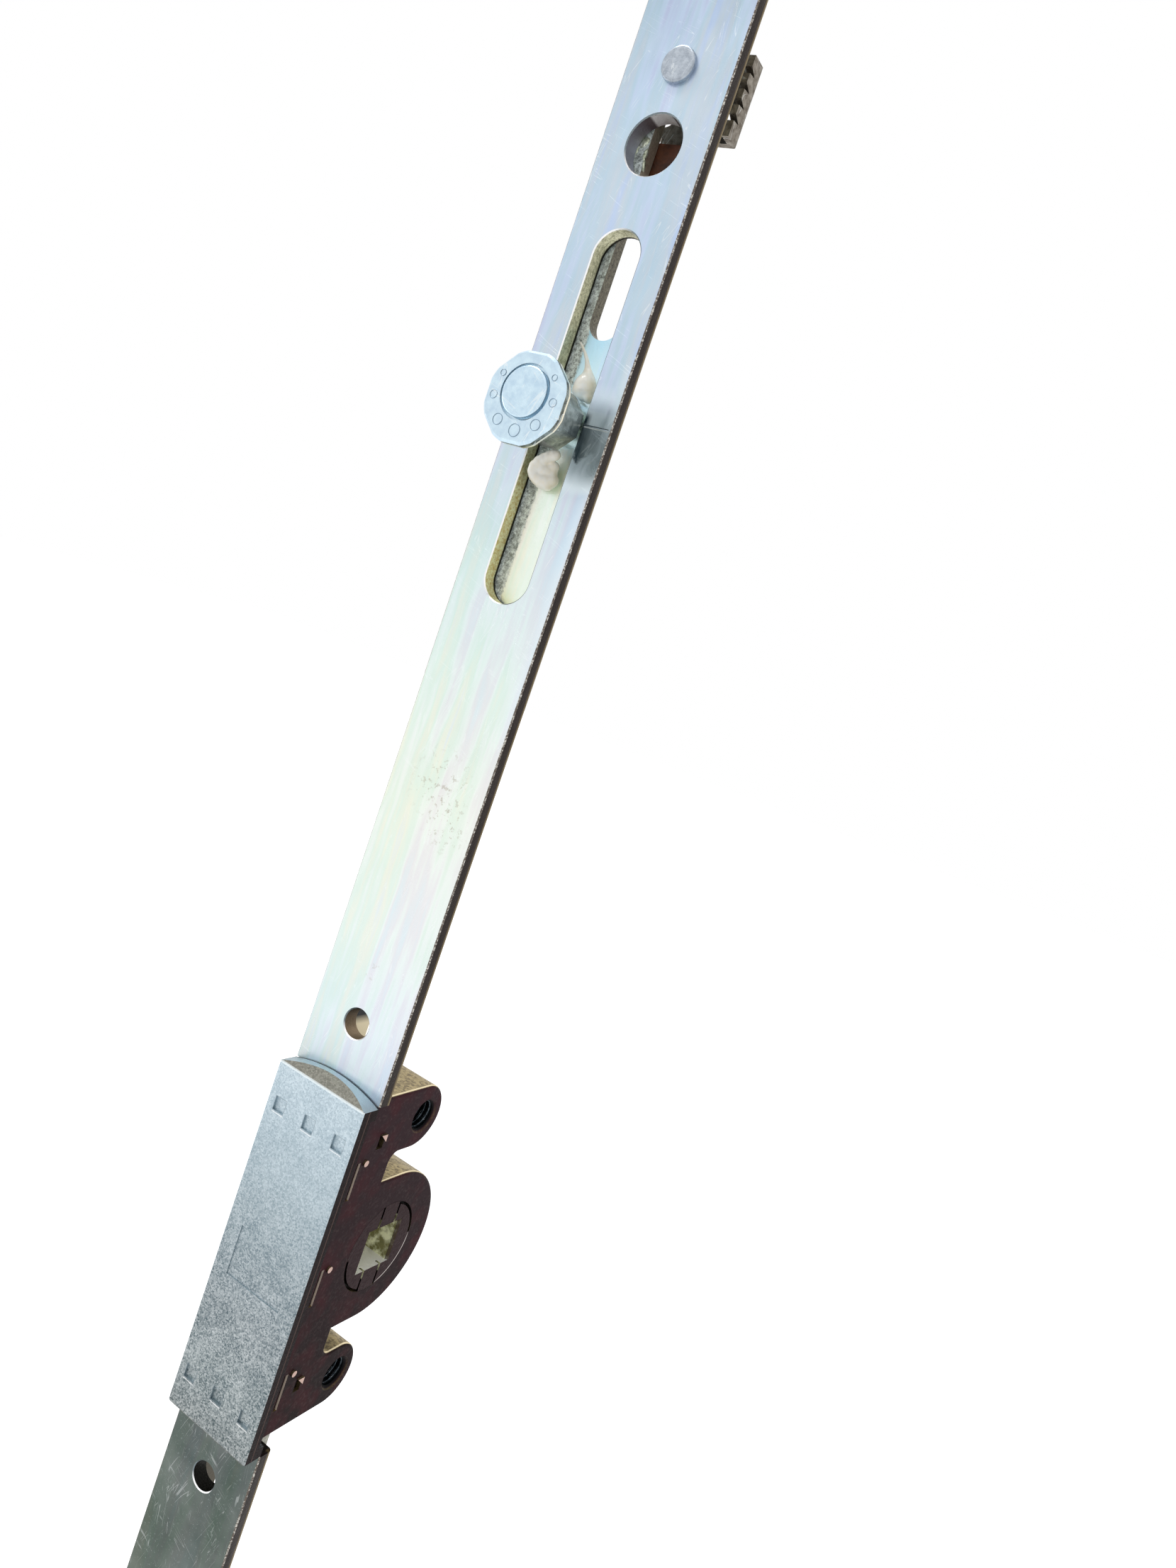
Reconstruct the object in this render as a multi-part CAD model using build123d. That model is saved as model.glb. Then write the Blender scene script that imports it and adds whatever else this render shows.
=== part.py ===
from build123d import *
import math
import os

# Tilt-and-turn window lock with several locking points, rebuilt as its loose pieces.
# The origin is the middle of the spindle hub. X runs along the spindle, across the
# 16 mm faceplate. Y runs from the front of the faceplate into the sash. Z is up.
# All sizes are in millimetres.

# Interface sizes
backset = 15.5              # spindle axis to the front of the faceplate
handle_pitch = 43.0         # between the two handle screws
spindle_square = 7.05       # socket for a 7 mm square spindle
handle_bore_radius = 2.25   # M5 thread, mean radius
handle_bore_chamfer = 0.5
plate_screw_height = 35.5   # faceplate screws, above and below the hub
end_screw_inset = 12.0      # end screw to the faceplate's end
screw_radius = 2.12

# Clearances
slide_gap = 0.3             # flat pieces that slide past each other
turn_gap = 0.05             # a turning piece in its bore
seat_gap = 0.2              # fixed pieces that drop into a pocket
overrun = 2.0               # how far a cut reaches past the faces it opens

# Faceplates
plate_width = 16.0
plate_thick = 2.5
plate_half_length = 205.0
plate_start = 26.9          # where each faceplate begins, from the hub
plate_back_round = 0.7
plate_front_round = 0.2
plate_corner = 1.0
hole_chamfer = 0.15
tongue_width = 8.6
tongue_end = 19.0
cam_slot_width = 7.0
cam_slot_length = 49.9
cam_slot_drop = 0.2         # middle of the slot below the cam's rest place
access_hole_radius = 3.98
access_hole_height = 156.9
guide_height = 166.8        # rivet that carries the guide bracket

# Casing
case_half_width = 6.0
case_wall = 1.5
case_front_lift = 1.0       # the casing's front stands this far ahead of the faceplate
case_half_height = 26.5
case_front_half_height = 25.9
case_neck_depth = 10.4      # back of the narrow part, from the faceplate front
case_edge_round = 0.5
ear_radius = 5.0
ear_reach = 4.1             # ear hole to the back of the ear
ear_notch_round = 1.6
lobe_radius = 12.0
lobe_wall = 0.95
channel_half_width = 4.5
dowel_radius = 0.9
dowel_depth = 8.6
dowel_height = 15.0
dowel_bite = 0.9            # how far a dowel reaches into the side plate
dot_radius = 0.48
dot_proud = 0.3
dot_depth = 4.2
dot_pitch = 16.6
slit_depth = 2.8
slit_width = 0.75
slit_length = 5.8
slit_cut = 0.5
lug_depth = 6.4
lug_height = 19.4
lug_width = 1.3
lug_length = 2.3
lug_cut = 0.7
lug_proud = 0.35

# Cover over the gear
cover_proud = 3.2
cover_half_height = 26.7
cover_bulge = 1.37          # how far the arched ends reach past the straight front edge
cover_ramp_foot = 1.3       # height of the arched wall under the ramp
cover_flange = 2.2
cover_rib_half_height = 18.6
cover_end_block = 25.0
cover_edge = 0.2
dimple_size = 2.0
dimple_cut = 0.35
dimple_spread = 5.6
dimple_height = 20.95
pad_width = 10.4
pad_height = 7.5
pad_drop = 1.0
pad_cut = 0.15
stud_radius = 1.3

# Gear and hub
gear_module = 0.9
gear_teeth = 22
pressure_angle = 20.0
backlash = 0.14
dedendum_share = 1.25       # of the module
gear_half_width = 3.9
hub_radius = 7.2
key_width = 3.0
key_reach = 0.7             # how far the hub's keys stand into the gear
slit_spread = 1.9           # half the distance between the slits in the hub's faces
hub_slit_width = 0.4
hub_slit_cut = 0.8
arc_sweep = 74.0            # dark arc along the hub's rim, from the end of a slit
socket_chamfer = 0.4
ring_reach = 1.3            # thrust ring, past the hub
flank_steps = 5
swing = 90.0                # the handle turns this far each way

# Rack and rods
rod_half_width = 6.0
rod_thick = 2.0
rod_half_length = 186.0
rod_start = 43.2
rack_half_width = 4.2
rack_tooth_count = 16
lap_end = 62.0
lap_rivet_height = 58.0
rivet_radius = 1.5
rivet_head_radius = 2.4
rivet_head_thick = 0.7
rivet_sink = 0.9
screw_slot_half_width = 2.4
guide_slot_half_width = 2.45
guide_slot_foot = 132.7
rod_eye_radius = 0.9
rod_eye_inset = 1.8
rod_eye_end = 4.0

# Locking cam
cam_height = 121.3
cam_throw = 0.65            # how far the head stands off its pin
cam_head_across = 11.9
cam_head_thick = 1.7
cam_head_proud = 9.1
cam_head_chamfer = 0.35
cam_flat_share = 0.968      # width across the head's flats, of its round diameter
cam_sleeve_across = 7.1
cam_lift = 0.45             # sleeve foot to the faceplate
cam_collar_radius = 3.2
cam_shaft_radius = 2.2
cam_tail_radius = 2.0
cam_tail_head_radius = 2.9
cam_tail_head_thick = 0.7
cam_washer_radius = 3.6
cam_washer_thick = 0.6
cam_top_radius = 3.25
cam_top_thick = 0.85
cam_top_proud = 0.3
cam_recess_radius = 3.6
cam_play = 0.1
cam_top_round = 0.25

# Guide bracket
bracket_half_width = 7.0
bracket_wall = 1.0
bracket_back_depth = 8.05
bracket_rise = 4.9          # from its rivet up to its top
bracket_drop = 5.4          # and down to its foot
bracket_lip_depth = 5.1
bracket_tongue_half_width = 3.9
bracket_tongue_drop = 11.8
bracket_round = 0.5
bracket_window_radius = 1.6
bracket_window_spread = 4.3
bracket_window_drop = 2.4
saw_pitch = 2.0
saw_count = 4
saw_tip_depth = 6.6
saw_mouth = 0.8
saw_first_rise = 2.8
block_top_drop = 7.1
block_height = 5.1
block_half_width = 4.2
guide_rivet_radius = 1.6
guide_head_radius = 2.35
guide_head_proud = 0.7
guide_head_round = 0.3
guide_tail_thick = 0.8
guide_bush_radius = 2.2

# Places that follow from the sizes above
front_y = -backset
plate_back_y = front_y + plate_thick
case_front_y = front_y - case_front_lift
neck_y = front_y + case_neck_depth
rod_front_y = plate_back_y + slide_gap
rod_back_y = rod_front_y + rod_thick
ear_height = handle_pitch / 2
pitch_radius = gear_module * gear_teeth / 2
tip_radius = pitch_radius + gear_module
root_radius = pitch_radius - dedendum_share * gear_module
tooth_pitch = math.pi * gear_module
rack_tip_y = -pitch_radius + gear_module
rack_root_y = -pitch_radius - dedendum_share * gear_module
rack_half_length = tooth_pitch * rack_tooth_count / 2
travel = pitch_radius * math.radians(swing)
channel_back_y = rack_tip_y + slide_gap
cavity_radius = lobe_radius - lobe_wall
plate_inner_x = case_half_width - case_wall
bracket_back_y = front_y + bracket_back_depth
bracket_inner_y = bracket_back_y - bracket_wall
bracket_top = guide_height + bracket_rise
bracket_foot = guide_height - bracket_drop
bracket_tongue_foot = guide_height - bracket_tongue_drop
bracket_window_height = guide_height - bracket_window_drop
saw_first = guide_height + saw_first_rise
block_top = guide_height - block_top_drop
block_foot = block_top - block_height
end_screw_height = plate_half_length - end_screw_inset
cam_slot_height = cam_height - cam_slot_drop
screw_slot_low = plate_screw_height - travel - screw_radius - slide_gap
screw_slot_high = plate_screw_height + travel + screw_radius + slide_gap
cam_foot_y = front_y - cam_lift
cam_head_y = front_y - cam_head_proud
cam_top_y = cam_head_y - cam_top_proud
cam_top_back_y = cam_top_y + cam_top_thick

os.makedirs("parts", exist_ok=True)


# Building blocks

def box(x0, x1, y0, y1, z0, z1):
    size = Box(x1 - x0, y1 - y0, z1 - z0)
    return Pos((x0 + x1) / 2, (y0 + y1) / 2, (z0 + z1) / 2) * size


def round_x(radius, x0, x1, y=0, z=0):
    """A cylinder along X."""
    return Pos((x0 + x1) / 2, y, z) * Rot(0, 90, 0) * Cylinder(radius, x1 - x0)


def round_y(radius, y0, y1, x=0, z=0):
    """A cylinder along Y."""
    return Pos(x, (y0 + y1) / 2, z) * Rot(90, 0, 0) * Cylinder(radius, y1 - y0)


def cone_y(front_radius, back_radius, y0, y1, x=0, z=0):
    """A cone along Y, front_radius at y0 and back_radius at y1."""
    return Pos(x, (y0 + y1) / 2, z) * Rot(90, 0, 0) * Cone(back_radius, front_radius, y1 - y0)


def slot_y(half_width, z0, z1, y0, y1):
    """A slot with round ends from z0 to z1, cut along Y."""
    flat = box(-half_width, half_width, y0, y1, z0 + half_width, z1 - half_width)
    low = round_y(half_width, y0, y1, 0, z0 + half_width)
    high = round_y(half_width, y0, y1, 0, z1 - half_width)
    return flat + low + high


def side_sheet(sketch, x0, x1):
    """A side-view outline, drawn in Y and Z, as a solid from x0 to x1."""
    return extrude(Plane.YZ.offset(x0) * sketch, amount=x1 - x0)


def front_sheet(sketch, y0, y1):
    """A front-view outline, drawn in X and Z, as a solid from y0 back to y1."""
    return extrude(Plane.XZ.offset(-y1) * sketch, amount=y1 - y0)


def polygon(points):
    return make_face(Polyline(*points, close=True))


def turned_down(shape):
    """The lower twin of an upper piece."""
    return mirror(shape, about=Plane.XY)


def save(shape, name):
    shape.label = name
    export_step(shape, os.path.join("parts", name + ".step"))


# Faceplates

def upper_faceplate():
    plate = box(-plate_width / 2, plate_width / 2, front_y, plate_back_y, plate_start, plate_half_length)
    corners = [e for e in plate.edges().filter_by(Axis.Y) if e.center().Z > plate_half_length - plate_corner]
    plate = fillet(corners, plate_corner)
    middle_y = front_y + plate_thick / 2
    back_edges = [e for e in plate.edges().filter_by(Axis.Z) if e.center().Y > middle_y]
    plate = fillet(back_edges, plate_back_round)
    front_edges = [e for e in plate.edges().filter_by(Axis.Z) if abs(e.center().Y - front_y) < plate_front_round]
    plate = chamfer(front_edges, plate_front_round)
    plate += box(-tongue_width / 2, tongue_width / 2, front_y, plate_back_y, tongue_end, plate_start)
    y0 = front_y - overrun
    y1 = plate_back_y + overrun
    plate -= round_y(screw_radius, y0, y1, 0, plate_screw_height)
    plate -= round_y(screw_radius, y0, y1, 0, end_screw_height)
    plate -= round_y(access_hole_radius, y0, y1, 0, access_hole_height)
    plate -= round_y(guide_rivet_radius, y0, y1, 0, guide_height)
    plate -= round_y(stud_radius, y0, y1, 0, dimple_height)
    low = cam_slot_height - cam_slot_length / 2
    high = cam_slot_height + cam_slot_length / 2
    plate -= slot_y(cam_slot_width / 2, low, high, y0, y1)
    front = plate.faces().sort_by(Axis.Y)[0]
    rims = [e for wire in front.inner_wires() for e in wire.edges()]
    return chamfer(rims, hole_chamfer)


# Casing

def casing_outline():
    """Side view of the casing in Y and Z: a narrow front, two ears and a round lobe."""
    neck_deep = neck_y - front_y - seat_gap / 4
    outline = Pos(neck_y - neck_deep / 2, 0) * Rectangle(neck_deep, 2 * case_half_height)
    front_deep = neck_y - case_front_y
    outline += Pos(neck_y - front_deep / 2, 0) * Rectangle(front_deep, 2 * case_front_half_height)
    ear_centre = ear_reach - ear_radius
    for side in (-1, 1):
        arm = ear_centre - case_front_y
        outline += Pos(ear_centre - arm / 2 + case_front_lift, side * ear_height) * Rectangle(
            arm - 2 * case_front_lift, 2 * ear_radius)
        outline += Pos(ear_centre, side * ear_height) * Circle(ear_radius)
    outline += Pos(neck_y / 2, 0) * Rectangle(-neck_y, 2 * lobe_radius)
    outline += Circle(lobe_radius)
    notch_z = ear_height - ear_radius
    inner = [v for v in outline.vertices()
             if abs(v.X - neck_y) < seat_gap and abs(abs(v.Y) - notch_z) < seat_gap]
    return fillet(inner, ear_notch_round)


def casing_blank(x0, x1):
    blank = side_sheet(casing_outline(), x0, x1)
    for side in (-1, 1):
        blank -= round_x(handle_bore_radius, x0 - overrun, x1 + overrun, 0, side * ear_height)
    blank -= round_x(hub_radius + turn_gap, x0 - overrun, x1 + overrun)
    return blank


def casing_cavity(x0, x1):
    """Room for the rack, from end to end, and for the gear behind it."""
    reach = case_half_height + overrun
    channel = box(x0, x1, case_front_y - overrun, channel_back_y, -reach, reach)
    return channel + round_x(cavity_radius, x0, x1)


def side_marks(side):
    """Small round dots that stand out of a side wall."""
    x0 = side * (case_half_width - case_wall / 2)
    x1 = side * (case_half_width + dot_proud)
    marks = []
    for step in (-1, 0, 1):
        marks.append(round_x(dot_radius, min(x0, x1), max(x0, x1), front_y + dot_depth, step * dot_pitch))
    return marks


def side_cuts(side):
    """Thin slits below the dots and two stamped lugs in a side wall."""
    inner = side * (case_half_width - slit_cut)
    outer = side * (case_half_width + overrun)
    slit_y = front_y + slit_depth
    cuts = []
    for step in (-1, 0, 1):
        top = step * dot_pitch + dot_radius / 2
        cuts.append(box(min(inner, outer), max(inner, outer), slit_y - slit_width / 2,
                        slit_y + slit_width / 2, top - slit_length, top))
    deep = side * (case_half_width - lug_cut)
    lug_y = front_y + lug_depth
    for z in (-lug_height, lug_height):
        cuts.append(box(min(deep, outer), max(deep, outer), lug_y - lug_width / 2,
                        lug_y + lug_width / 2, z - lug_length / 2, z + lug_length / 2))
    return cuts


def side_lugs(side):
    """The bent corner that stands at the top of each stamped pocket."""
    x = sorted((side * (case_half_width - lug_cut), side * (case_half_width + lug_proud)))
    lug_y = front_y + lug_depth
    lugs = []
    for z in (-lug_height, lug_height):
        top = z + lug_length / 2
        wedge = polygon([(lug_y - lug_width / 2, top), (lug_y + lug_width / 2, top),
                         (lug_y + lug_width / 2, top - lug_length / 2)])
        lugs.append(side_sheet(wedge, x[0], x[1]))
    return lugs


def soften_side(shape, side):
    """Rounds the rim of an outer side face and chamfers its ear holes."""
    face = shape.faces().sort_by(Axis.X)[-1 if side > 0 else 0]
    rim = face.outer_wire().edges()
    shape = fillet(rim, case_edge_round)
    holes = [e for e in shape.edges().filter_by(GeomType.CIRCLE)
             if abs(e.center().X - side * case_half_width) < turn_gap
             and abs(e.radius - handle_bore_radius) < turn_gap]
    return chamfer(holes, handle_bore_chamfer)


def dowel(x0, x1, z):
    return round_x(dowel_radius, x0, x1, front_y + dowel_depth, z)


def casing_body():
    body = casing_blank(-case_half_width, plate_inner_x)
    body = soften_side(body, -1)
    body -= casing_cavity(-channel_half_width, plate_inner_x + overrun)
    body -= [dowel(0, plate_inner_x + overrun, z) for z in (-dowel_height, dowel_height)]
    body += side_marks(-1)
    body -= side_cuts(-1)
    body += side_lugs(-1)
    return body


def casing_side_plate():
    plate = casing_blank(plate_inner_x, case_half_width)
    plate = soften_side(plate, 1)
    plate -= [dowel(0, plate_inner_x + dowel_bite, z) for z in (-dowel_height, dowel_height)]
    plate += side_marks(1)
    plate -= side_cuts(1)
    plate += side_lugs(1)
    return plate


def upper_casing_dowel():
    return dowel(0, plate_inner_x + dowel_bite, dowel_height)


# Cover

def cover_outline():
    """Front view of the cover: straight sides and gently arched ends."""
    w = plate_width / 2
    h = cover_half_height
    peak = h + cover_bulge
    return make_face([
        ThreePointArc((-w, h), (0, peak), (w, h)),
        Line((w, h), (w, -h)),
        ThreePointArc((w, -h), (0, -peak), (-w, -h)),
        Line((-w, -h), (-w, h)),
    ])


def gearbox_cover():
    cover_front_y = front_y - cover_proud
    cover = front_sheet(cover_outline(), cover_front_y, front_y)
    peak = cover_half_height + cover_bulge
    ramp = polygon([(cover_front_y, cover_half_height),
                    (front_y - cover_ramp_foot, peak),
                    (front_y - cover_ramp_foot, peak + overrun),
                    (cover_front_y - overrun, peak + overrun),
                    (cover_front_y - overrun, cover_half_height)])
    ramp = side_sheet(ramp, -plate_width, plate_width)
    cover -= ramp
    cover -= turned_down(ramp)
    rim = [e for e in cover.edges() if abs(e.center().Y - cover_front_y) < seat_gap]
    cover = chamfer(rim, cover_edge)
    groove_in = channel_half_width - seat_gap / 2
    groove_out = case_half_width + seat_gap / 2
    groove_end = case_front_half_height + seat_gap / 2
    for side in (-1, 1):
        x = sorted((side * groove_in, side * groove_out))
        cover -= box(x[0], x[1], case_front_y, front_y + overrun, -groove_end, groove_end)
        x = sorted((side * groove_out, side * plate_width))
        cover -= box(x[0], x[1], cover_front_y + cover_flange, front_y + overrun,
                     -cover_end_block, cover_end_block)
    rib = tongue_width / 2
    cover += box(-rib, rib, front_y - cover_proud / 2, plate_back_y,
                 -cover_rib_half_height, cover_rib_half_height)
    for x in (-dimple_spread, 0, dimple_spread):
        for z in (-dimple_height, dimple_height):
            cover -= box(x - dimple_size / 2, x + dimple_size / 2, cover_front_y - overrun,
                         cover_front_y + dimple_cut, z - dimple_size / 2, z + dimple_size / 2)
    cover -= box(-pad_width / 2, pad_width / 2, cover_front_y - overrun, cover_front_y + pad_cut,
                 -pad_drop - pad_height / 2, -pad_drop + pad_height / 2)
    for side in (-1, 1):
        cover -= round_y(stud_radius, case_front_y, front_y + overrun, 0, side * dimple_height)
    return cover


def upper_cover_stud():
    """A stud that pins a faceplate's tongue under the cover."""
    return round_y(stud_radius, case_front_y, plate_back_y, 0, dimple_height)


# Hub and gear

def rim_arc(x0, x1, side):
    """A groove along the hub's rim that starts at the end of a slit."""
    ring = round_x(hub_radius, x0, x1) - round_x(hub_radius - hub_slit_width, x0, x1)
    reach = 2 * hub_radius
    start = math.acos((slit_spread - hub_slit_width / 2) / hub_radius)
    end = start - math.radians(arc_sweep)
    middle = (start + end) / 2
    wedge = polygon([(0, 0)] + [(side * reach * math.cos(angle), side * reach * math.sin(angle))
                                for angle in (start, middle, end)])
    return ring & side_sheet(wedge, x0, x1)


def spindle_hub():
    hub = round_x(hub_radius, -case_half_width, case_half_width)
    key_tip = hub_radius + key_reach
    hub += box(-gear_half_width, gear_half_width, -key_width / 2, key_width / 2, -key_tip, key_tip)
    socket = spindle_square / 2
    far = case_half_width + overrun
    hub -= box(-far, far, -socket, socket, -socket, socket)
    for side in (-1, 1):
        cut = sorted((side * (case_half_width - hub_slit_cut), side * far))
        for y in (-slit_spread, slit_spread):
            for z in (-hub_radius, socket):
                hub -= box(cut[0], cut[1], y - hub_slit_width / 2, y + hub_slit_width / 2,
                           z, z + hub_radius - socket)
        hub -= rim_arc(cut[0], cut[1], 1)
        hub -= rim_arc(cut[0], cut[1], -1)
    mouth = [e for e in hub.edges()
             if abs(abs(e.center().X) - case_half_width) < turn_gap
             and abs(abs(e.center().Y) - socket) < turn_gap]
    return chamfer(mouth, socket_chamfer)


def involute_point(base_radius, radius, turn):
    """Place on an involute flank at a radius, with the whole flank turned by an angle."""
    roll = math.sqrt((radius / base_radius) ** 2 - 1)
    angle = roll - math.atan(roll) + turn
    return radius, angle


def tooth_outline():
    """One gear tooth, symmetric about angle zero, as polar points."""
    tilt = math.radians(pressure_angle)
    base_radius = pitch_radius * math.cos(tilt)
    half_tooth = (tooth_pitch - backlash) / 4 / pitch_radius
    turn = -half_tooth - (math.tan(tilt) - tilt)
    start = max(base_radius, root_radius)
    flank = []
    for step in range(flank_steps + 1):
        radius = start + (tip_radius - start) * step / flank_steps
        flank.append(involute_point(base_radius, radius, turn))
    foot = (root_radius - gear_module / 4, flank[0][1])
    rising = [foot] + flank
    falling = [(radius, -angle) for radius, angle in reversed(rising)]
    return rising + falling


def drive_gear():
    gear = round_x(root_radius, -gear_half_width, gear_half_width)
    for tooth in range(gear_teeth):
        middle = math.pi + 2 * math.pi * tooth / gear_teeth
        points = [(radius * math.cos(middle + angle), radius * math.sin(middle + angle))
                  for radius, angle in tooth_outline()]
        gear += side_sheet(polygon(points), -gear_half_width, gear_half_width)
    gear -= round_x(hub_radius, -case_half_width, case_half_width)
    key_tip = hub_radius + key_reach
    gear -= box(-case_half_width, case_half_width, -key_width / 2, key_width / 2, -key_tip, key_tip)
    return gear


def thrust_ring(side):
    x = sorted((side * gear_half_width, side * (channel_half_width - 2 * turn_gap)))
    ring = round_x(hub_radius + ring_reach, x[0], x[1])
    return ring - round_x(hub_radius, x[0] - overrun, x[1] + overrun)


# Rack and rods

def rack_tooth(z):
    tilt = math.tan(math.radians(pressure_angle))
    half_pitch_line = (tooth_pitch - backlash) / 4
    half_tip = half_pitch_line - gear_module * tilt
    half_root = half_pitch_line + dedendum_share * gear_module * tilt
    foot = rack_root_y - gear_module / 4
    return polygon([(foot, z - half_root), (rack_root_y, z - half_root), (rack_tip_y, z - half_tip),
                    (rack_tip_y, z + half_tip), (rack_root_y, z + half_root), (foot, z + half_root)])


def drive_rack():
    w = rack_half_width
    rack = box(-w, w, rod_front_y, rack_root_y, -rack_half_length, rack_half_length)
    for step in range(rack_tooth_count):
        z = tooth_pitch * (step + 1 / 2) - rack_half_length
        rack += side_sheet(rack_tooth(z), -w, w)
    inner_end = rod_start - slide_gap / 2
    for side in (-1, 1):
        arm = sorted((side * rack_half_length, side * inner_end))
        rack += box(-w, w, rod_front_y, rack_tip_y, arm[0], arm[1])
        lap = sorted((side * inner_end, side * lap_end))
        rack += box(-w, w, rod_back_y, rack_tip_y, lap[0], lap[1])
        hole = sorted((side * screw_slot_low, side * screw_slot_high))
        rack -= slot_y(screw_slot_half_width, hole[0], hole[1], rod_front_y - overrun, rack_tip_y + overrun)
        rack -= round_y(rivet_radius, rod_front_y, rack_tip_y + overrun, 0, side * lap_rivet_height)
    return rack


def upper_rod():
    w = rod_half_width
    rod = box(-w, w, rod_front_y, rod_back_y, rod_start, rod_half_length)
    y0 = rod_front_y - overrun
    y1 = rod_back_y + overrun
    rod -= slot_y(screw_slot_half_width, rod_start - 2 * screw_slot_half_width, screw_slot_high, y0, y1)
    rod -= slot_y(guide_slot_half_width, guide_slot_foot, rod_half_length + 2 * guide_slot_half_width, y0, y1)
    rod -= round_y(rivet_radius, y0, y1, 0, lap_rivet_height)
    rod -= cone_y(rivet_head_radius, rivet_radius, rod_front_y, rod_front_y + rivet_sink, 0, lap_rivet_height)
    rod -= round_y(cam_tail_radius, y0, y1, 0, cam_height)
    for side in (-1, 1):
        rod -= round_y(rod_eye_radius, y0, y1, side * (w - rod_eye_inset), rod_half_length - rod_eye_end)
    return rod


def upper_rack_rivet():
    z = lap_rivet_height
    rivet = cone_y(rivet_head_radius, rivet_radius, rod_front_y, rod_front_y + rivet_sink, 0, z)
    rivet += round_y(rivet_radius, rod_front_y + rivet_sink, rack_tip_y, 0, z)
    rivet += round_y(rivet_head_radius, rack_tip_y, rack_tip_y + rivet_head_thick, 0, z)
    return rivet


# Locking cam

def cam_pin(z):
    pin = round_y(cam_collar_radius, cam_foot_y + cam_play, rod_front_y, 0, z)
    pin += round_y(cam_shaft_radius, cam_top_back_y, cam_foot_y + cam_play, 0, z)
    top = round_y(cam_top_radius, cam_top_y, cam_top_back_y, 0, z)
    rim = top.faces().sort_by(Axis.Y)[0].edges()
    pin += fillet(rim, cam_top_round)
    tail_back = rod_back_y + cam_washer_thick
    pin += round_y(cam_tail_radius, rod_front_y, tail_back, 0, z)
    pin += round_y(cam_tail_head_radius, tail_back, tail_back + cam_tail_head_thick, 0, z)
    return pin


def cam_washer(z):
    y1 = rod_back_y + cam_washer_thick
    washer = round_y(cam_washer_radius, rod_back_y, y1, 0, z)
    return washer - round_y(cam_tail_radius, rod_back_y - overrun, y1 + overrun, 0, z)


def cam_head(z):
    """Eccentric head: a thin eight-sided plate on an eight-sided sleeve."""
    sides = 8
    middle = z - cam_throw
    plate_back_face = cam_head_y + cam_head_thick
    plate = round_y(cam_head_across / 2, cam_head_y, plate_back_face, 0, middle)
    flats = cam_head_across * cam_flat_share / 2 / math.cos(math.pi / sides)
    octagon = Pos(0, middle) * RegularPolygon(flats, sides, rotation=math.degrees(math.pi / sides))
    plate = plate & front_sheet(octagon, cam_head_y, plate_back_face)
    rims = [e for e in plate.edges() if e.center().Y < cam_head_y + turn_gap
            or e.center().Y > plate_back_face - turn_gap]
    plate = chamfer(rims, cam_head_chamfer)
    sleeve = cam_sleeve_across / 2 / math.cos(math.pi / sides)
    octagon = Pos(0, middle) * RegularPolygon(sleeve, sides, rotation=math.degrees(math.pi / sides))
    head = plate + front_sheet(octagon, plate_back_face, cam_foot_y)
    head -= round_y(cam_shaft_radius + turn_gap, cam_head_y - overrun, front_y, 0, z)
    head -= round_y(cam_recess_radius, cam_head_y - overrun, cam_top_back_y + cam_play, 0, z)
    return head


# Guide bracket, its rivet, bush and block

def upper_guide_bracket():
    w = bracket_half_width
    lip_y = front_y + bracket_lip_depth
    bracket = box(-w, w, lip_y, bracket_back_y, bracket_foot, bracket_top)
    bends = [e for e in bracket.edges().filter_by(Axis.Z) if e.center().Y > bracket_inner_y]
    bracket = fillet(bends, bracket_round)
    bracket -= box(-w + bracket_wall, w - bracket_wall, lip_y - overrun, bracket_inner_y,
                   bracket_foot - overrun, bracket_top + overrun)
    tongue = bracket_tongue_half_width
    bracket += box(-tongue, tongue, bracket_inner_y, bracket_back_y, bracket_tongue_foot, bracket_foot)
    tip_y = front_y + saw_tip_depth
    for step in range(saw_count):
        z = saw_first - step * saw_pitch
        notch = polygon([(lip_y - overrun, z + saw_mouth * 2), (tip_y, z), (lip_y - overrun, z - saw_mouth / 2)])
        bracket -= side_sheet(notch, -w - overrun, w + overrun)
    y0 = bracket_inner_y - overrun
    y1 = bracket_back_y + overrun
    bracket -= round_y(guide_rivet_radius, y0, y1, 0, guide_height)
    for side in (-1, 1):
        bracket -= round_y(bracket_window_radius, y0, y1, side * bracket_window_spread, bracket_window_height)
    return bracket


def upper_guide_rivet():
    head_y = front_y - guide_head_proud
    head = round_y(guide_head_radius, head_y, front_y, 0, guide_height)
    rivet = fillet(head.faces().sort_by(Axis.Y)[0].edges(), guide_head_round)
    rivet += round_y(guide_rivet_radius, front_y, bracket_back_y, 0, guide_height)
    rivet += round_y(guide_head_radius, bracket_back_y, bracket_back_y + guide_tail_thick, 0, guide_height)
    return rivet


def upper_guide_bush():
    bush = round_y(guide_bush_radius, plate_back_y, bracket_inner_y, 0, guide_height)
    return bush - round_y(guide_rivet_radius, plate_back_y - overrun, bracket_inner_y + overrun, 0, guide_height)


def upper_guide_block():
    w = block_half_width
    return box(-w, w, rod_back_y + slide_gap, bracket_inner_y, block_foot, block_top)


def save_pair(upper, name):
    """An upper piece and its twin below the hub."""
    save(upper, "upper_" + name)
    save(turned_down(upper), "lower_" + name)


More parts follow.
